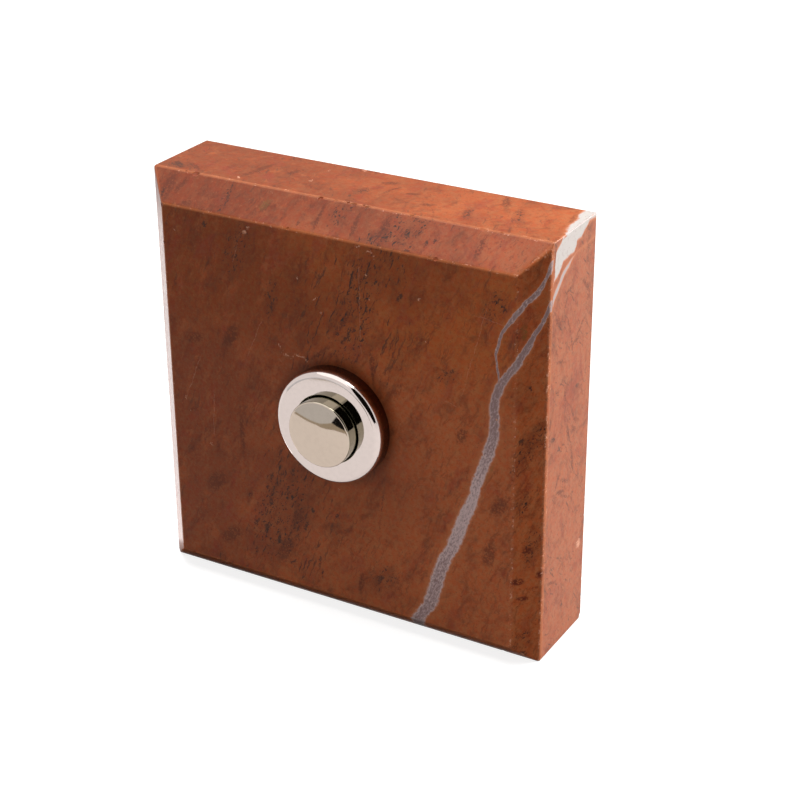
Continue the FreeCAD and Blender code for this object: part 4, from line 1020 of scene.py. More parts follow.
@dataclass(frozen=True)
class PlatedFlange(Metal):
    """The flange's plating: warmer in the bore, with painted shade on its rim's side wall near the stone."""

    bore: float = 6.2
    warm: Colour = (0.48, 0.455, 0.355)
    # Colour of the painted shade on the rim's side wall.
    rim_wall_shade: Colour = (0.15, 0.075, 0.045)
    speck: Colour = (0.62, 0.42, 0.36)
    specks: Tuple[Triple, ...] = ((28.0, -21.6, 0.16), (23.5, -21.2, 0.10), (11.0, -21.4, 0.13),
                                  (31.0, -21.9, 0.09), (-8.0, -21.3, 0.08))

    def finish(self, axis: Point, radius: float) -> bpy.types.Material:
        """The plating of a flange.

        Args:
            axis: X and Z of its axis, in metres.
            radius: Its radius, in metres.

        Returns:
            The material.
        """
        material = self.material()
        graph, shader, place = opened(material)
        middle = (axis[0] / MM, 0.0, axis[1] / MM)
        flat = from_axis(graph, place, axis)
        deep = graph.along(place, DEEP)
        colour = shader.inputs["Base Color"].links[0].from_socket
        colour = graph.mix(graph.smooth(flat, self.bore + 0.05, self.bore - 0.05), colour, self.warm)
        # Painted shade: the rim's side wall darkens towards the stone, for the shaded stone it reflects.
        rim = graph.smooth(flat, radius / MM - 0.30, radius / MM - 0.02)
        rim_wall_shade_mask = graph.times(rim, graph.smooth(deep, -22.7, -21.6, 0.92))
        colour = graph.mix(rim_wall_shade_mask, colour, self.rim_wall_shade)
        dots: Value = 0.0
        for turn, at, size in self.specks:
            across, up = math.cos(math.radians(turn)), math.sin(math.radians(turn))
            speck = (middle[0] + across * radius / MM, at, middle[2] + up * radius / MM)
            dot = graph.smooth(graph.vector("DISTANCE", place, speck), size, size / 2)
            dots = graph.math("MAXIMUM", dots, dot)
        graph.feed(shader.inputs["Base Color"], graph.mix(dots, colour, self.speck))
        return material


@dataclass(frozen=True)
class PlatedButton(Metal):
    """The button's plating: darker on its side, as painted shade for the dark bore that the side reflects.
    """

    # Colour of the painted shade on the button's side.
    painted_side_shade: Colour = (0.29, 0.27, 0.20)

    def finish(self, axis: Point, radius: float) -> bpy.types.Material:
        """The plating of a button.

        Args:
            axis: X and Z of its axis, in metres.
            radius: The radius of its side, in metres.

        Returns:
            The material.
        """
        material = self.material()
        graph, shader, place = opened(material)
        colour = shader.inputs["Base Color"].links[0].from_socket
        # Painted shade on the button's side.
        side = graph.smooth(from_axis(graph, place, axis), radius / MM - 0.12, radius / MM - 0.03)
        graph.feed(shader.inputs["Base Color"], graph.mix(side, colour, self.painted_side_shade))
        return material


@dataclass(frozen=True)
class Soft:
    """Rubber, foam, card, fibre or a moulding: a dull finish with a grain."""

    name: str
    colour: Colour
    other: Colour
    roughness: float
    grain: float
    relief: float

    def material(self) -> bpy.types.Material:
        """The finish, with two mixed colours and a small relief.

        Returns:
            The material.
        """
        material, graph, shader, place = new_material(self.name)
        grain = graph.placed(grain_group(), Vector=place, Scale=self.grain)
        mask = graph.smooth(grain.outputs["Coarse"], 0.36, 0.66)
        graph.feed(shader.inputs["Base Color"], graph.mix(mask, self.colour, self.other))
        rough = graph.scaled(grain.outputs["Fine"], 0.2, self.roughness)
        graph.feed(shader.inputs["Roughness"], rough)
        height = graph.math("ADD", grain.outputs["Coarse"], grain.outputs["Fine"])
        bump = graph.node("Bump", {"Strength": self.relief, "Distance": 0.00008, "Height": height})
        graph.feed(shader.inputs["Normal"], bump.outputs[0])
        return material


class Finish(Enum):
    """Every finish of the push except the stone, by the record's slot."""

    chrome = Metal("bright_nickel", (0.66, 0.565, 0.53), 0.03, 0.03, 1.2, 0.97)
    button = Metal("warm_nickel", (0.56, 0.455, 0.375), 0.03, 0.03, 1.2, 0.97)
    brass = Metal("turned_brass", (0.66, 0.46, 0.18), 0.24, 0.14, 1.5)
    nickel = Metal("dull_nickel", (0.55, 0.50, 0.43), 0.28, 0.14, 1.5)
    zinc_steel = Metal("zinc_plated_steel", (0.25, 0.255, 0.265), 0.40, 0.22, 0.5, 0.66)
    spring_steel = Metal("spring_steel", (0.42, 0.42, 0.43), 0.26, 0.14, 2.0)
    silver = Metal("contact_silver", (0.82, 0.80, 0.76), 0.22, 0.16, 2.5)
    phenolic = Soft("phenolic", (0.045, 0.022, 0.014), (0.075, 0.036, 0.020), 0.32, 1.2, 0.10)
    rubber = Soft("black_rubber", (0.016, 0.016, 0.017), (0.030, 0.029, 0.029), 0.55, 1.6, 0.25)
    foam = Soft("grey_foam", (0.055, 0.056, 0.060), (0.110, 0.110, 0.116), 0.85, 2.2, 0.9)
    fibre = Soft("red_fibre", (0.30, 0.055, 0.035), (0.40, 0.095, 0.055), 0.62, 1.8, 0.35)
    card = Soft("grey_card", (0.20, 0.21, 0.22), (0.30, 0.30, 0.30), 0.80, 2.0, 0.40)


# Modelling by operators


def enter(mode: str) -> None:
    """Enter edit mode or object mode."""
    bpy.ops.object.mode_set(mode=mode)


def clear_selection() -> None:
    """Leave edit mode and deselect everything."""
    if bpy.context.object and bpy.context.object.mode != "OBJECT":
        enter("OBJECT")
    bpy.ops.object.select_all(action="DESELECT")


def pick(*objects: Piece) -> None:
    """Select these objects only, with the first one active.

    Args:
        objects: The objects.
    """
    clear_selection()
    for each in objects:
        each.select_set(True)
    bpy.context.view_layer.objects.active = objects[0]


def settle(obj: Piece) -> None:
    """Apply an object's place, turn and size to its mesh."""
    pick(obj)
    bpy.ops.object.transform_apply(location=True, rotation=True, scale=True)


def apply_modifier(obj: Piece, kind: str, **settings) -> None:
    """Add a modifier to an object and apply it.

    Args:
        obj: The object.
        kind: The modifier's type.
        settings: The modifier's properties.
    """
    pick(obj)
    modifier = obj.modifiers.new(kind.lower(), kind)
    for name, value in settings.items():
        setattr(modifier, name, value)
    bpy.ops.object.modifier_apply(modifier=modifier.name)


def select_where(obj: Piece, test: Callable[[Vector], bool]) -> None:
    """Select the vertices that pass a test, in edit mode with vertices selectable.

    Args:
        obj: The object.
        test: Tells from a vertex's place whether it is wanted.
    """
    enter("OBJECT")
    for part in (obj.data.polygons, obj.data.edges, obj.data.vertices):
        for each in part:
            each.select = False
    for vertex in obj.data.vertices:
        vertex.select = test(vertex.co)
    enter("EDIT")
    bpy.ops.mesh.select_mode(type="VERT")


def solid_box(name: str, low: Vector, high: Vector) -> Piece:
    """A box from corner to corner, as a new object.

    Args:
        name: The box's name.
        low: Its lowest corner.
        high: Its highest corner.

    Returns:
        The box.
    """
    clear_selection()
    bpy.ops.mesh.primitive_cube_add(size=1.0, location=(low + high) / 2)
    box = bpy.context.object
    box.name = box.data.name = name
    box.scale = high - low
    settle(box)
    return box


def solid_rod(name: str, radius: float, start: Vector, end: Vector, sides: int = 64) -> Piece:
    """A round bar between two points, as a new object.

    Args:
        name: The bar's name.
        radius: Its radius.
        start: The middle of its first end.
        end: The middle of its other end.
        sides: Its number of sides.

    Returns:
        The bar.
    """
    clear_selection()
    span = end - start
    turn = span.to_track_quat("Z", "Y").to_euler()
    bpy.ops.mesh.primitive_cylinder_add(vertices=sides, radius=radius, depth=span.length,
                                        location=(start + end) / 2, rotation=turn)
    rod = bpy.context.object
    rod.name = rod.data.name = name
    settle(rod)
    return rod


def take_away(obj: Piece, cutter: Piece, **settings) -> None:
    """Cut one object out of another and delete the cutter.

    Args:
        obj: The object that is cut.
        cutter: What is cut out of it.
        settings: Other properties of the cut.
    """
    apply_modifier(obj, "BOOLEAN", operation="DIFFERENCE", object=cutter, solver="EXACT", **settings)
    bpy.data.objects.remove(cutter)


def smooth_faces(obj: Piece, angle: float) -> None:
    """Shade an object smooth except at edges sharper than an angle in degrees.

    Args:
        obj: The object.
        angle: The angle.
    """
    pick(obj)
    bpy.ops.object.shade_smooth_by_angle(angle=math.radians(angle))
    apply_modifier(obj, "WEIGHTED_NORMAL", keep_sharp=True, weight=100)


def dress(obj: Piece, *materials: bpy.types.Material) -> None:
    """Give an object these materials in place of its own.

    Args:
        obj: The object.
        materials: The materials.
    """
    obj.data.materials.clear()
    for material in materials:
        obj.data.materials.append(material)


def spun(name: str, outline: Sequence[Point], rounds: Dict[int, Tuple[float, int]], axis: Point,
         steps: int = 160) -> Piece:
    """A turned piece: an outline of (radius, place along Y) spun about a line along Y.

    Args:
        name: The piece's name.
        outline: The outline's corners in order, starting and ending on the axis or closing on itself.
        rounds: Rounding radius and segments of the corners named by their number.
        axis: X and Z of the line.
        steps: Segments round the turn.

    Returns:
        The piece, with its place in its mesh.
    """
    clear_selection()
    first = Vector((axis[0] + outline[0][0], outline[0][1], axis[1]))
    bpy.ops.mesh.primitive_plane_add(size=MM, location=first)
    piece = bpy.context.object
    piece.name = piece.data.name = name
    settle(piece)
    enter("EDIT")
    bpy.ops.mesh.select_mode(type="VERT")
    bpy.ops.mesh.select_all(action="SELECT")
    bpy.ops.mesh.merge(type="CENTER")
    at = first
    for radius, y in outline[1:]:
        to = Vector((axis[0] + radius, y, axis[1]))
        bpy.ops.mesh.extrude_region_move(TRANSFORM_OT_translate={"value": to - at})
        at = to
    if outline[0][0] > 0:
        select_where(piece, lambda co: min((co - first).length, (co - at).length) < NEAR)
        bpy.ops.mesh.edge_face_add()
    for number, (radius, segments) in rounds.items():
        corner = Vector((axis[0] + outline[number][0], outline[number][1], axis[1]))
        select_where(piece, lambda co: (co - corner).length < NEAR)
        bpy.ops.mesh.bevel(offset=radius, segments=segments, affect="VERTICES", offset_type="OFFSET")
    bpy.ops.mesh.select_all(action="SELECT")
    bpy.ops.mesh.spin(steps=steps, angle=math.tau, center=(axis[0], 0.0, axis[1]), axis=(0.0, 1.0, 0.0))
    bpy.ops.mesh.select_all(action="SELECT")
    bpy.ops.mesh.remove_doubles(threshold=NEAR)
    bpy.ops.mesh.normals_make_consistent(inside=False)
    enter("OBJECT")
    return piece


# Sub-assemblies


@dataclass
class StoneBlock:
    """The block of stone, with worn arrises and chips."""

    width: float = 75.0 * MM
    depth: float = 20.0 * MM
    top: Point = (4.6 * MM, 4.9 * MM)
    right: Point = (3.8 * MM, 4.6 * MM)
    left: Point = (4.6 * MM, 4.9 * MM)
    bottom: Point = (3.7 * MM, 3.6 * MM)
    arris: float = 0.22 * MM
    hollow_half: float = 28.0 * MM
    hollow_corner: float = 4.0 * MM
    hollow_floor: float = -12.0 * MM
    hole_radius: float = 8.3 * MM
    over: float = 1.0 * MM
    slack: float = 0.05 * MM
    groove_width: float = 2.6 * MM
    groove_corner: float = 10.05 * MM
    core_corner: float = 7.45 * MM
    fixing_offset: float = 18.0 * MM
    pin_place: float = -5.0 * MM
    pin_radius: float = 1.7 * MM
    pin_end: float = 31.0 * MM
    screw_place: float = -6.0 * MM
    screw_radius: float = 2.23 * MM
    screw_start: float = 8.0 * MM
    insert_radius: float = 3.02 * MM
    insert_length: float = 8.6 * MM
    chip_seed: int = 7
    chip_count: int = 90
    chip_radius: Point = (0.3, 0.9)
    chip_sink: Point = (0.10, 0.18)
    chip_stretch: Point = (0.8, 1.3)
    front_margin: float = 4.0 * MM
    side_margin: float = 0.3 * MM
    broken_corner: Triple = (0.9 * MM, 0.9 * MM, -0.4 * MM)
    broken_radius: float = 1.8 * MM
    bend: float = 20.0
    crease: float = 32.0

    def chamfer_list(self) -> List[Chamfer]:
        """The side, face width and depth of each chamfer, in millimetres.

        Returns:
            The chamfers.
        """
        sides = (((0, 0, 1), self.top), ((1, 0, 0), self.right),
                 ((-1, 0, 0), self.left), ((0, 0, -1), self.bottom))
        return [(side, face / MM, deep / MM) for side, (face, deep) in sides]

    def build(self, push_axis: Point) -> Piece:
        """Model the block.

        Args:
            push_axis: X and Z of the push's axis.

        Returns:
            The block.
        """
        half = self.width / 2
        block = solid_box("marble_block", Vector((-half, -self.depth, -half)), Vector((half, 0.0, half)))
        enter("EDIT")
        for side, face, deep in self.chamfer_list():
            outward = Vector(side)
            bpy.ops.mesh.select_all(action="SELECT")
            bpy.ops.mesh.bisect(plane_co=outward * (half - face * MM) + Vector((0, -self.depth, 0)),
                                plane_no=outward * deep + Vector((0, -1, 0)) * face,
                                clear_outer=True, use_fill=True)
        enter("OBJECT")
        apply_modifier(block, "BEVEL", width=self.arris, segments=3, limit_method="ANGLE",
                       angle_limit=math.radians(self.bend), use_clamp_overlap=False)
        self.hollow(block, push_axis)
        self.chip(block)
        smooth_faces(block, self.crease)
        return block

    def hollow(self, block: Piece, push_axis: Point) -> None:
        """Cut the hollow, the hole for the push, the seal's groove and the fixing holes.

        Args:
            block: The block.
            push_axis: X and Z of the push's axis.
        """
        half, over = self.hollow_half, self.over
        take_away(block, self.rounded(half, self.hollow_corner, self.hollow_floor, over))
        centre = Vector((push_axis[0], 0.0, push_axis[1]))
        along = Vector(DEEP)
        take_away(block, solid_rod("hole", self.hole_radius, centre - along * (self.depth + over),
                                   centre + along * (self.hollow_floor + over), 96))
        low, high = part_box("wall_seal")
        outer = high.x + self.slack
        groove = self.rounded(outer, self.groove_corner, low.y - self.slack, over)
        take_away(groove, self.rounded(outer - self.groove_width, self.core_corner, low.y - over, 2 * over))
        take_away(block, groove)
        edge, up = self.width / 2, Vector(UP)
        for side in (-1, 1):
            pin = Vector((side * self.fixing_offset, self.pin_place, 0.0))
            screw = Vector((side * self.fixing_offset, self.screw_place, 0.0))
            for name, radius, start, end, sides in (
                    ("pin_hole", self.pin_radius, pin + up * (half - over), pin + up * self.pin_end, 32),
                    ("insert_hole", self.insert_radius, screw - up * (edge + over),
                     screw - up * (edge - self.insert_length), 48),
                    ("screw_hole", self.screw_radius, screw - up * (edge - self.screw_start),
                     screw - up * (half - over), 48)):
                take_away(block, solid_rod(name, radius, start, end, sides))

    def rounded(self, half: float, corner: float, start: float, end: float) -> Piece:
        """A square bar along Y with round corners, from one place to another.

        Args:
            half: Half of its width.
            corner: Its corners' radius.
            start: Where it starts along Y.
            end: Where it ends.

        Returns:
            The bar.
        """
        bar = solid_box("bar", Vector((-half, start, -half)), Vector((half, end, half)))
        enter("EDIT")
        bpy.ops.mesh.select_mode(type="EDGE")
        bpy.ops.mesh.select_all(action="DESELECT")
        enter("OBJECT")
        for edge in bar.data.edges:
            first, second = (bar.data.vertices[number].co for number in edge.vertices)
            edge.select = abs(first.y - second.y) > abs(end - start) / 2
        enter("EDIT")
        bpy.ops.mesh.bevel(offset=corner, segments=10, affect="EDGES")
        enter("OBJECT")
        return bar

    def chip(self, block: Piece) -> None:
        """Break small chips out of the arrises.

        Args:
            block: The block.
        """
        chance = random.Random(self.chip_seed)
        half = self.width / 2
        front = -self.depth
        lines = []
        for side, face, deep in self.chamfer_list():
            outward = Vector(side)
            across = Vector((outward.z, 0.0, -outward.x))
            for depth_in, inset in ((front, face * MM), (front + deep * MM, 0.0), (0.0, 0.0)):
                middle = outward * (half - inset) + Vector((0.0, depth_in, 0.0))
                margin = self.front_margin if inset else self.side_margin
                lines.append((middle, across, half - margin, outward))
        rocks = []
        for _ in range(self.chip_count):
            middle, across, reach, outward = chance.choice(lines)
            at = middle + across * chance.uniform(-reach, reach)
            radius = chance.uniform(*self.chip_radius) * MM
            sink = chance.uniform(*self.chip_sink) * MM
            if outward.x > 0.5 and front + MM < at.y < -MM:
                continue
            away = (outward + Vector((0.0, -1.0 if at.y < -MM else 1.0, 0.0))).normalized()
            rocks.append((at + away * (radius - sink), radius))
        rocks.append((Vector((half, 0.0, -half)) + Vector(self.broken_corner), self.broken_radius))
        stones = []
        for centre, radius in rocks:
            clear_selection()
            bpy.ops.mesh.primitive_ico_sphere_add(subdivisions=2, radius=radius, location=centre,
                                                  rotation=(chance.uniform(0, 3), chance.uniform(0, 3), 0.0))
            stone = bpy.context.object
            stone.scale = [chance.uniform(*self.chip_stretch) for _ in range(3)]
            stones.append(stone)
        pick(*stones)
        bpy.ops.object.join()
        bpy.ops.object.transform_apply(location=True, rotation=True, scale=True)
        take_away(block, bpy.context.object, use_self=True)


@dataclass
class Push:
    """The plated push: bezel and button turned about one axis, and the springs behind them.

    A spring has its wire's thickness, its turns and how much it shortens.
    """

    thread_depth: float = 0.45 * MM
    thread_pitch: float = 1.0 * MM
    thread_flank: float = 0.8
    thread_run_out: float = 1.5 * MM
    thread_radius: float = 7.95 * MM
    bezel_round: float = 1.05 * MM
    lip_bore: float = 6.1 * MM
    lip_length: float = 2.5 * MM
    lip_round: float = 0.15 * MM
    front_chamber: float = 6.6 * MM
    rear_chamber: float = 6.9 * MM
    stop_gap: float = 0.05 * MM
    button_radius: float = 5.9 * MM
    button_dome: float = 0.4 * MM
    button_round: float = 0.25 * MM
    collar_radius: float = 6.45 * MM
    cup_radius: float = 4.7 * MM
    face_thickness: float = 1.25 * MM
    boss_radius: float = 2.6 * MM
    boss_bore: float = 1.52 * MM
    boss_length: float = 4.4 * MM
    bore_rise: float = 0.78 * MM
    lifting: Triple = (0.6 * MM, 6.0, 2.0 * MM)
    bridge: Triple = (0.28 * MM, 3.0, 0.6 * MM)
    dome_steps: int = 14
    crease: float = 35.0
    wire_crease: float = 40.0
    wire_sides: int = 14
    steps_per_turn: int = 40

    def axis(self) -> Point:
        """X and Z of the push's axis."""
        low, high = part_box("push_button")
        return ((low.x + high.x) / 2, (low.z + high.z) / 2)

    def bezel(self) -> Piece:
        """The flange and its threaded barrel.

        Returns:
            The flange with its barrel.
        """
        low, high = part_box("bezel")
        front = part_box("flange_seal")[1].y
        radius = (high.x - low.x) / 2
        outline = [(self.lip_bore, low.y), (radius, low.y), (radius, front), (self.thread_radius, front)]
        y = front + self.thread_run_out
        while y < high.y - self.thread_pitch:
            outline += [(self.thread_radius, y - self.thread_flank * self.thread_depth),
                        (self.thread_radius - self.thread_depth, y),
                        (self.thread_radius, y + self.thread_flank * self.thread_depth)]
            y += self.thread_pitch
        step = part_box("switch_body")[0].y
        rear = low.y + self.lip_length
        outline += [(self.thread_radius, high.y), (self.rear_chamber, high.y), (self.rear_chamber, step),
                    (self.front_chamber, step), (self.front_chamber, rear), (self.lip_bore, rear)]
        rounds = {1: (self.bezel_round, 12), 0: (self.lip_round, 4)}
        piece = spun("bezel_plated", outline, rounds, self.axis())
        smooth_faces(piece, self.crease)
        return piece

    def button(self) -> Piece:
        """The domed button cap with its collar and boss.

        Returns:
            The button.
        """
        low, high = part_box("push_button")
        ball = (self.button_radius ** 2 + self.button_dome ** 2) / (2 * self.button_dome)
        outline = []
        for step in range(self.dome_steps + 1):
            across = self.button_radius * step / self.dome_steps
            outline.append((across, low.y + ball - math.sqrt(ball ** 2 - across ** 2)))
        rim = len(outline) - 1
        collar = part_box("bezel")[0].y + self.lip_length + self.stop_gap
        floor = low.y + self.face_thickness
        outline += [(self.button_radius, collar), (self.collar_radius, collar), (self.collar_radius, high.y),
                    (self.cup_radius, high.y), (self.cup_radius, floor), (self.boss_radius, floor),
                    (self.boss_radius, floor + self.boss_length), (self.boss_bore, floor + self.boss_length),
                    (self.boss_bore, floor + self.bore_rise), (0.0, floor + self.bore_rise)]
        piece = spun("button_plated", outline, {rim: (self.button_round, 8)}, self.axis())
        smooth_faces(piece, self.crease)
        return piece

    def spring(self, name: str, node: str, wire: float, turns: float) -> Piece:
        """A coil of wire in a node's place.

        Args:
            name: The coil's name.
            node: The node it stands for.
            wire: The wire's thickness.
            turns: The number of turns.

        Returns:
            The coil, with closed ends.
        """
        low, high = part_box(node)
        x, z = self.axis()
        radius = (high.x - low.x - wire) / 2
        steps = int(self.steps_per_turn * turns)
        clear_selection()
        bpy.ops.mesh.primitive_circle_add(vertices=self.wire_sides, radius=wire / 2, fill_type="NOTHING",
                                          location=(radius, 0.0, 0.0), rotation=(math.pi / 2, 0.0, 0.0))
        coil = bpy.context.object
        coil.name = coil.data.name = name
        settle(coil)
        apply_modifier(coil, "SCREW", axis="Z", angle=math.tau * turns, screw_offset=high.y - low.y - wire,
                       steps=steps, render_steps=steps)
        pick(coil)
        enter("EDIT")
        bpy.ops.mesh.select_all(action="DESELECT")
        bpy.ops.mesh.select_non_manifold()
        bpy.ops.mesh.edge_face_add()
        bpy.ops.mesh.select_all(action="SELECT")
        bpy.ops.mesh.normals_make_consistent(inside=False)
        enter("OBJECT")
        coil.rotation_euler = (-math.pi / 2, 0.0, 0.0)
        coil.location = (x, low.y + wire / 2, z)
        settle(coil)
        smooth_faces(coil, self.wire_crease)
        return coil


@dataclass(frozen=True)
class Card:
    """A flat card that only reflections show: its corners in order, and how it glows."""

    name: str
    corners: Tuple[Triple, ...]
    colour: Colour


@dataclass
class Studio:
    """Floor, lights and camera."""

    floor_level: float = -37.5 * MM
    floor_size: float = 12.0
    floor_grey: Colour = (0.35, 0.35, 0.35)
    floor_glow: float = 0.68
    floor_glow_seen: float = 0.16
    far_glow: Triple = (0.30, 1.1, 0.24)
    card_gap: float = 0.0003
    azimuth: float = 30.16
    elevation: float = 25.93
    roll: float = -0.40
    distance: float = 0.33207
    aim_right: float = 0.0012
    aim_up: float = -0.003885
    lens: float = 85.35
    ambient: float = 0.22
    key_place: Triple = (-0.05, 0.0, 0.75)
    key_size: float = 0.66
    key_power: float = 6.7
    side_place: Triple = (0.45, 0.68, 0.14)
    side_size: float = 0.50
    side_power: float = 12.4
    white: Colour = (1.0, 1.0, 1.0)
    key_colour: Colour = (1.0, 0.98, 0.95)
    side_colour: Colour = (1.0, 0.97, 0.94)

    def cards(self) -> List[Card]:
        """What stands round the object in the room: dark behind the camera, light above, and a dark card for
        the painted shadow under the block's front foot, seen in reflections.

        Returns:
            The cards.
        """
        return [
            self.upright("dark_room", -0.42, (
                (-0.012, -0.012), (0.316, self.floor_level), (0.577, 0.02), (1.2, 0.03), (1.2, 1.2),
                (0.40, 1.2), (0.14, 0.56), (0.068, 0.312), (0.02, 0.12)), (0.006, 0.005, 0.004)),
            self.level("light_above", 0.50, ((-0.50, -0.70), (0.05, -0.70), (0.05, 0.55), (-0.50, 0.55)),
                       (1.7, 1.7, 1.7)),
            self.level("light_beside", self.layer(1), (
                (-0.040, -0.030), (-0.040, 0.0), (-0.170, 0.110), (-0.230, 0.060)), (3.15, 3.05, 3.0)),
            self.upright("dim_behind", 0.55, ((-1.20, 0.02), (0.15, 0.02), (0.15, 0.50), (-1.20, 0.50)),
                         (0.40, 0.40, 0.40)),
            # Painted shadow: a dark card where the block's front foot shades the floor, seen only in
            # reflections.
            self.level("dark_foot", self.layer(1), (
                (-0.0370, -0.0240), (0.0370, -0.0240), (0.0370, -0.0168), (-0.0370, -0.0168)),
                (0.02, 0.015, 0.012)),
            self.level("table_edge", self.layer(1), (
                (-0.085, -0.105), (-0.060, -0.106), (-0.051, -0.108), (-0.045, -0.107), (-0.039, -0.109),
                (-0.033, -0.113), (-0.012, -0.113), (-0.012, -0.125), (-0.060, -0.150)), (0.48, 0.43, 0.34)),
            self.level("beyond_table", self.layer(2), (
                (-0.081, -0.110), (-0.060, -0.111), (-0.050, -0.114), (-0.046, -0.120), (-0.041, -0.130),
                (-0.046, -0.160), (-0.050, -0.260), (-0.330, -0.330), (-0.250, -0.150)), (0.73, 0.77, 0.79)),
            self.level("dark_gap", self.layer(3), (
                (-0.042, -0.129), (-0.033, -0.123), (-0.021, -0.118), (-0.022, -0.140), (-0.038, -0.175),
                (-0.047, -0.165)), (0.01, 0.01, 0.01)),
        ]

    def layer(self, number: int) -> float:
        """The height of a card that lies on the floor, on others below it."""
        return self.floor_level + number * self.card_gap

    def level(self, name: str, height: float, corners: Sequence[Point], colour: Colour) -> Card:
        """A level card, from X and Y of its corners."""
        return Card(name, tuple((x, y, height) for x, y in corners), colour)

    def upright(self, name: str, y: float, corners: Sequence[Point], colour: Colour) -> Card:
        """A card that stands across the room, from X and Z of its corners."""
        return Card(name, tuple((x, y, z) for x, z in corners), colour)

    def camera(self) -> None:
        """The camera at the photograph's angle, framing and lens."""
        turn, rise, roll = (math.radians(angle) for angle in (self.azimuth, self.elevation, self.roll))
        back = Vector((math.sin(turn) * math.cos(rise), -math.cos(turn) * math.cos(rise), math.sin(rise)))
        right = Vector((0.0, 0.0, 1.0)).cross(back).normalized()
        up = back.cross(right)
        right, up = (math.cos(roll) * right + math.sin(roll) * up,
                     math.cos(roll) * up - math.sin(roll) * right)
        place = back * self.distance + right * self.aim_right + up * self.aim_up
        data = bpy.data.cameras.new("camera")
        data.lens = self.lens
        data.clip_start = 0.01
        camera = bpy.data.objects.new("camera", data)
        bpy.context.scene.collection.objects.link(camera)
        camera.matrix_world = Matrix([*zip(right, up, back, place), (0.0, 0.0, 0.0, 1.0)])
        bpy.context.scene.camera = camera

    def floor(self) -> None:
        """A plain white floor that keeps the object's shadow."""
        clear_selection()
        bpy.ops.mesh.primitive_plane_add(size=self.floor_size, location=(0.0, 0.0, self.floor_level))
        floor = bpy.context.object
        floor.name = "floor"
        settle(floor)
        material = bpy.data.materials.new("white_floor")
        material.use_nodes = True
        graph = Graph(material.node_tree)
        shader = material.node_tree.nodes["Principled BSDF"]
        graph.feed(shader.inputs["Base Color"], self.floor_grey)
        shader.inputs["Roughness"].default_value = 0.9
        shader.inputs["Specular IOR Level"].default_value = 0.0
        path = graph.node("LightPath").outputs
        strength = self.seen(graph, self.floor_glow)
        strength = graph.scaled(path["Is Camera Ray"], self.floor_glow_seen, strength)
        away = graph.vector("LENGTH", graph.node("TexCoord").outputs["Object"])
        strength = graph.scaled(graph.smooth(away, *self.far_glow), self.seen(graph, 1.0), strength)
        glow = graph.node("Emission", {"Color": self.white, "Strength": strength})
        both = graph.node("AddShader", {0: shader.outputs[0], 1: glow.outputs[0]})
        graph.feed(material.node_tree.nodes["Material Output"].inputs[0], both.outputs[0])
        dress(floor, material)

    def seen(self, graph: Graph, strength: float, other: float = 0.0) -> Socket:
        """A strength for rays of the camera, of gloss and through glass, and one for the others.

        Args:
            graph: The material's graph.
            strength: The strength for the rays that see.
            other: The strength for the others.

        Returns:
            The strength.
        """
        path = graph.node("LightPath").outputs
        either = graph.math("ADD", path["Is Camera Ray"], path["Is Glossy Ray"])
        share = graph.math("ADD", either, path["Is Transmission Ray"], clamp=True)
        return graph.scaled(share, strength - other, other)

    def world(self) -> None:
        """White all round for what is seen, and a soft grey light for the rest."""
        world = bpy.data.worlds.new("white")
        bpy.context.scene.world = world
        world.use_nodes = True
        graph = Graph(world.node_tree)
        background = world.node_tree.nodes["Background"]
        graph.feed(background.inputs["Color"], self.white)
        graph.feed(background.inputs["Strength"], self.seen(graph, 1.0, self.ambient))

    def lights(self) -> None:
        """Soft boxes above, behind and to the right."""
        boxes = (("key", self.key_place, self.key_size, self.key_power, self.key_colour),
                 ("side", self.side_place, self.side_size, self.side_power, self.side_colour))
        for name, place, size, energy, colour in boxes:
            data = bpy.data.lights.new(name, "AREA")
            data.shape = "SQUARE"
            data.size = size
            data.energy = energy
            data.color = colour
            lamp = bpy.data.objects.new(name, data)
            bpy.context.scene.collection.objects.link(lamp)
            lamp.location = place
            lamp.rotation_euler = (-Vector(place)).to_track_quat("-Z", "Y").to_euler()

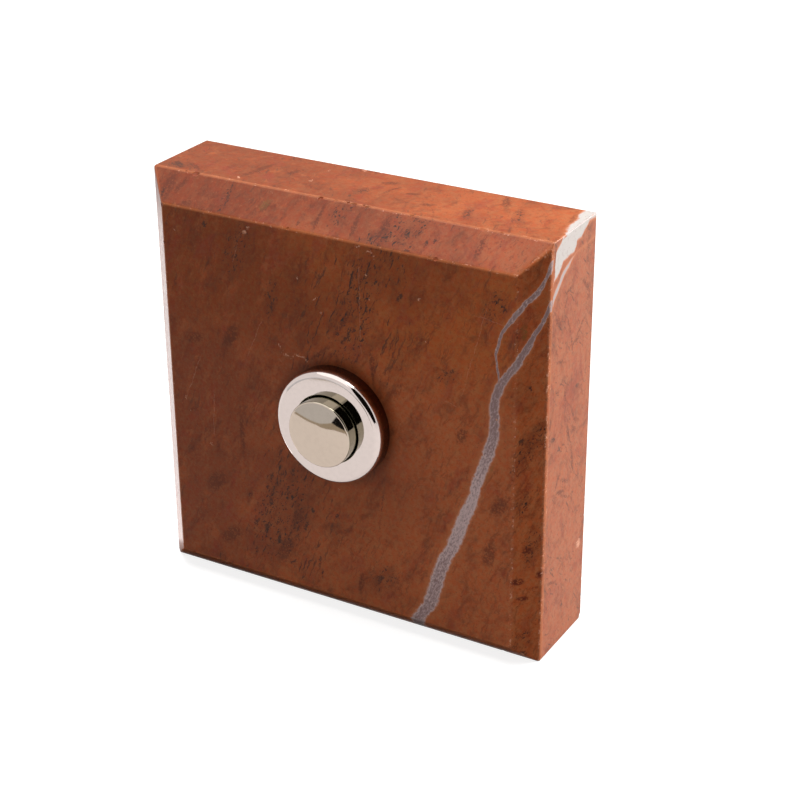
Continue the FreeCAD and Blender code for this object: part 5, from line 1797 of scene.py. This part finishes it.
    def reflections(self) -> None:
        """The cards that the plated pieces reflect."""
        for card in self.cards():
            clear_selection()
            bpy.ops.mesh.primitive_circle_add(vertices=len(card.corners), fill_type="NGON")
            plane = bpy.context.object
            plane.name = card.name
            for vertex, corner in zip(plane.data.vertices, card.corners):
                vertex.co = corner
            material = bpy.data.materials.new(card.name)
            material.use_nodes = True
            graph = Graph(material.node_tree)
            glow = graph.node("Emission", {"Color": card.colour, "Strength": 1.0})
            graph.feed(material.node_tree.nodes["Material Output"].inputs[0], glow.outputs[0])
            dress(plane, material)
            plane.visible_camera = plane.visible_diffuse = plane.visible_shadow = False

    def build(self) -> None:
        """Set the stage."""
        self.camera()
        self.floor()
        self.world()
        self.lights()
        self.reflections()


def place(piece: Piece, node: str, body: str, slot: str) -> None:
    """Let a piece stand for a node.

    Args:
        piece: The piece.
        node: The node that it replaces.
        body: The body that it moves with.
        slot: The record's slot of its finish; not used.
    """
    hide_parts(node)
    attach(piece, body)
    LOG.info("%s: %d faces, for %s on %s", piece.name, len(piece.data.polygons), node, body)


def main() -> None:
    """Load the frame, dress the pieces and set the stage."""
    logging.basicConfig(level=logging.INFO, format="%(message)s")
    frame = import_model()
    bpy.context.scene.view_settings.view_transform = "Standard"
    slots = {part["node"]: part["material_slot"] for part in frame["record"]["subparts"]}
    push = Push()
    finishes = {finish.name: finish.value.material() for finish in Finish}
    for name, node in frame["nodes"].items():
        if slots[name] in finishes:
            dress(node, finishes[slots[name]])
    shape = StoneBlock()
    block = shape.build(push.axis())
    low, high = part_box("bezel")
    flange = (high.x - low.x) / 2
    dress(block, Stone(shape.chamfer_list()).material(push.axis(), flange))
    place(block, "stone_block", "block", "stone")
    plating = PlatedFlange("flange_nickel", *astuple(Finish.chrome.value)[1:])
    painted_side_shade = PlatedButton("button_nickel", *astuple(Finish.button.value)[1:])
    for piece, node, body, finish in (
            (push.bezel(), "bezel", "block", plating.finish(push.axis(), flange)),
            (push.button(), "push_button", "button", painted_side_shade.finish(push.axis(), push.button_radius))):
        dress(piece, finish)
        place(piece, node, body, "chrome")
    for name, node, body, joint, (wire, turns, given) in (
            ("lifting_spring", "return_spring", "block", "button_press", push.lifting),
            ("bridge_spring", "contact_spring", "bridge", "bridge_close", push.bridge)):
        coil = push.spring(name, node, wire, turns)
        dress(coil, finishes["spring_steel"])
        place(coil, node, body, "spring_steel")
        low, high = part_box(node)
        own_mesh(coil)
    Studio().build()


if __name__ == "__main__":
    main()
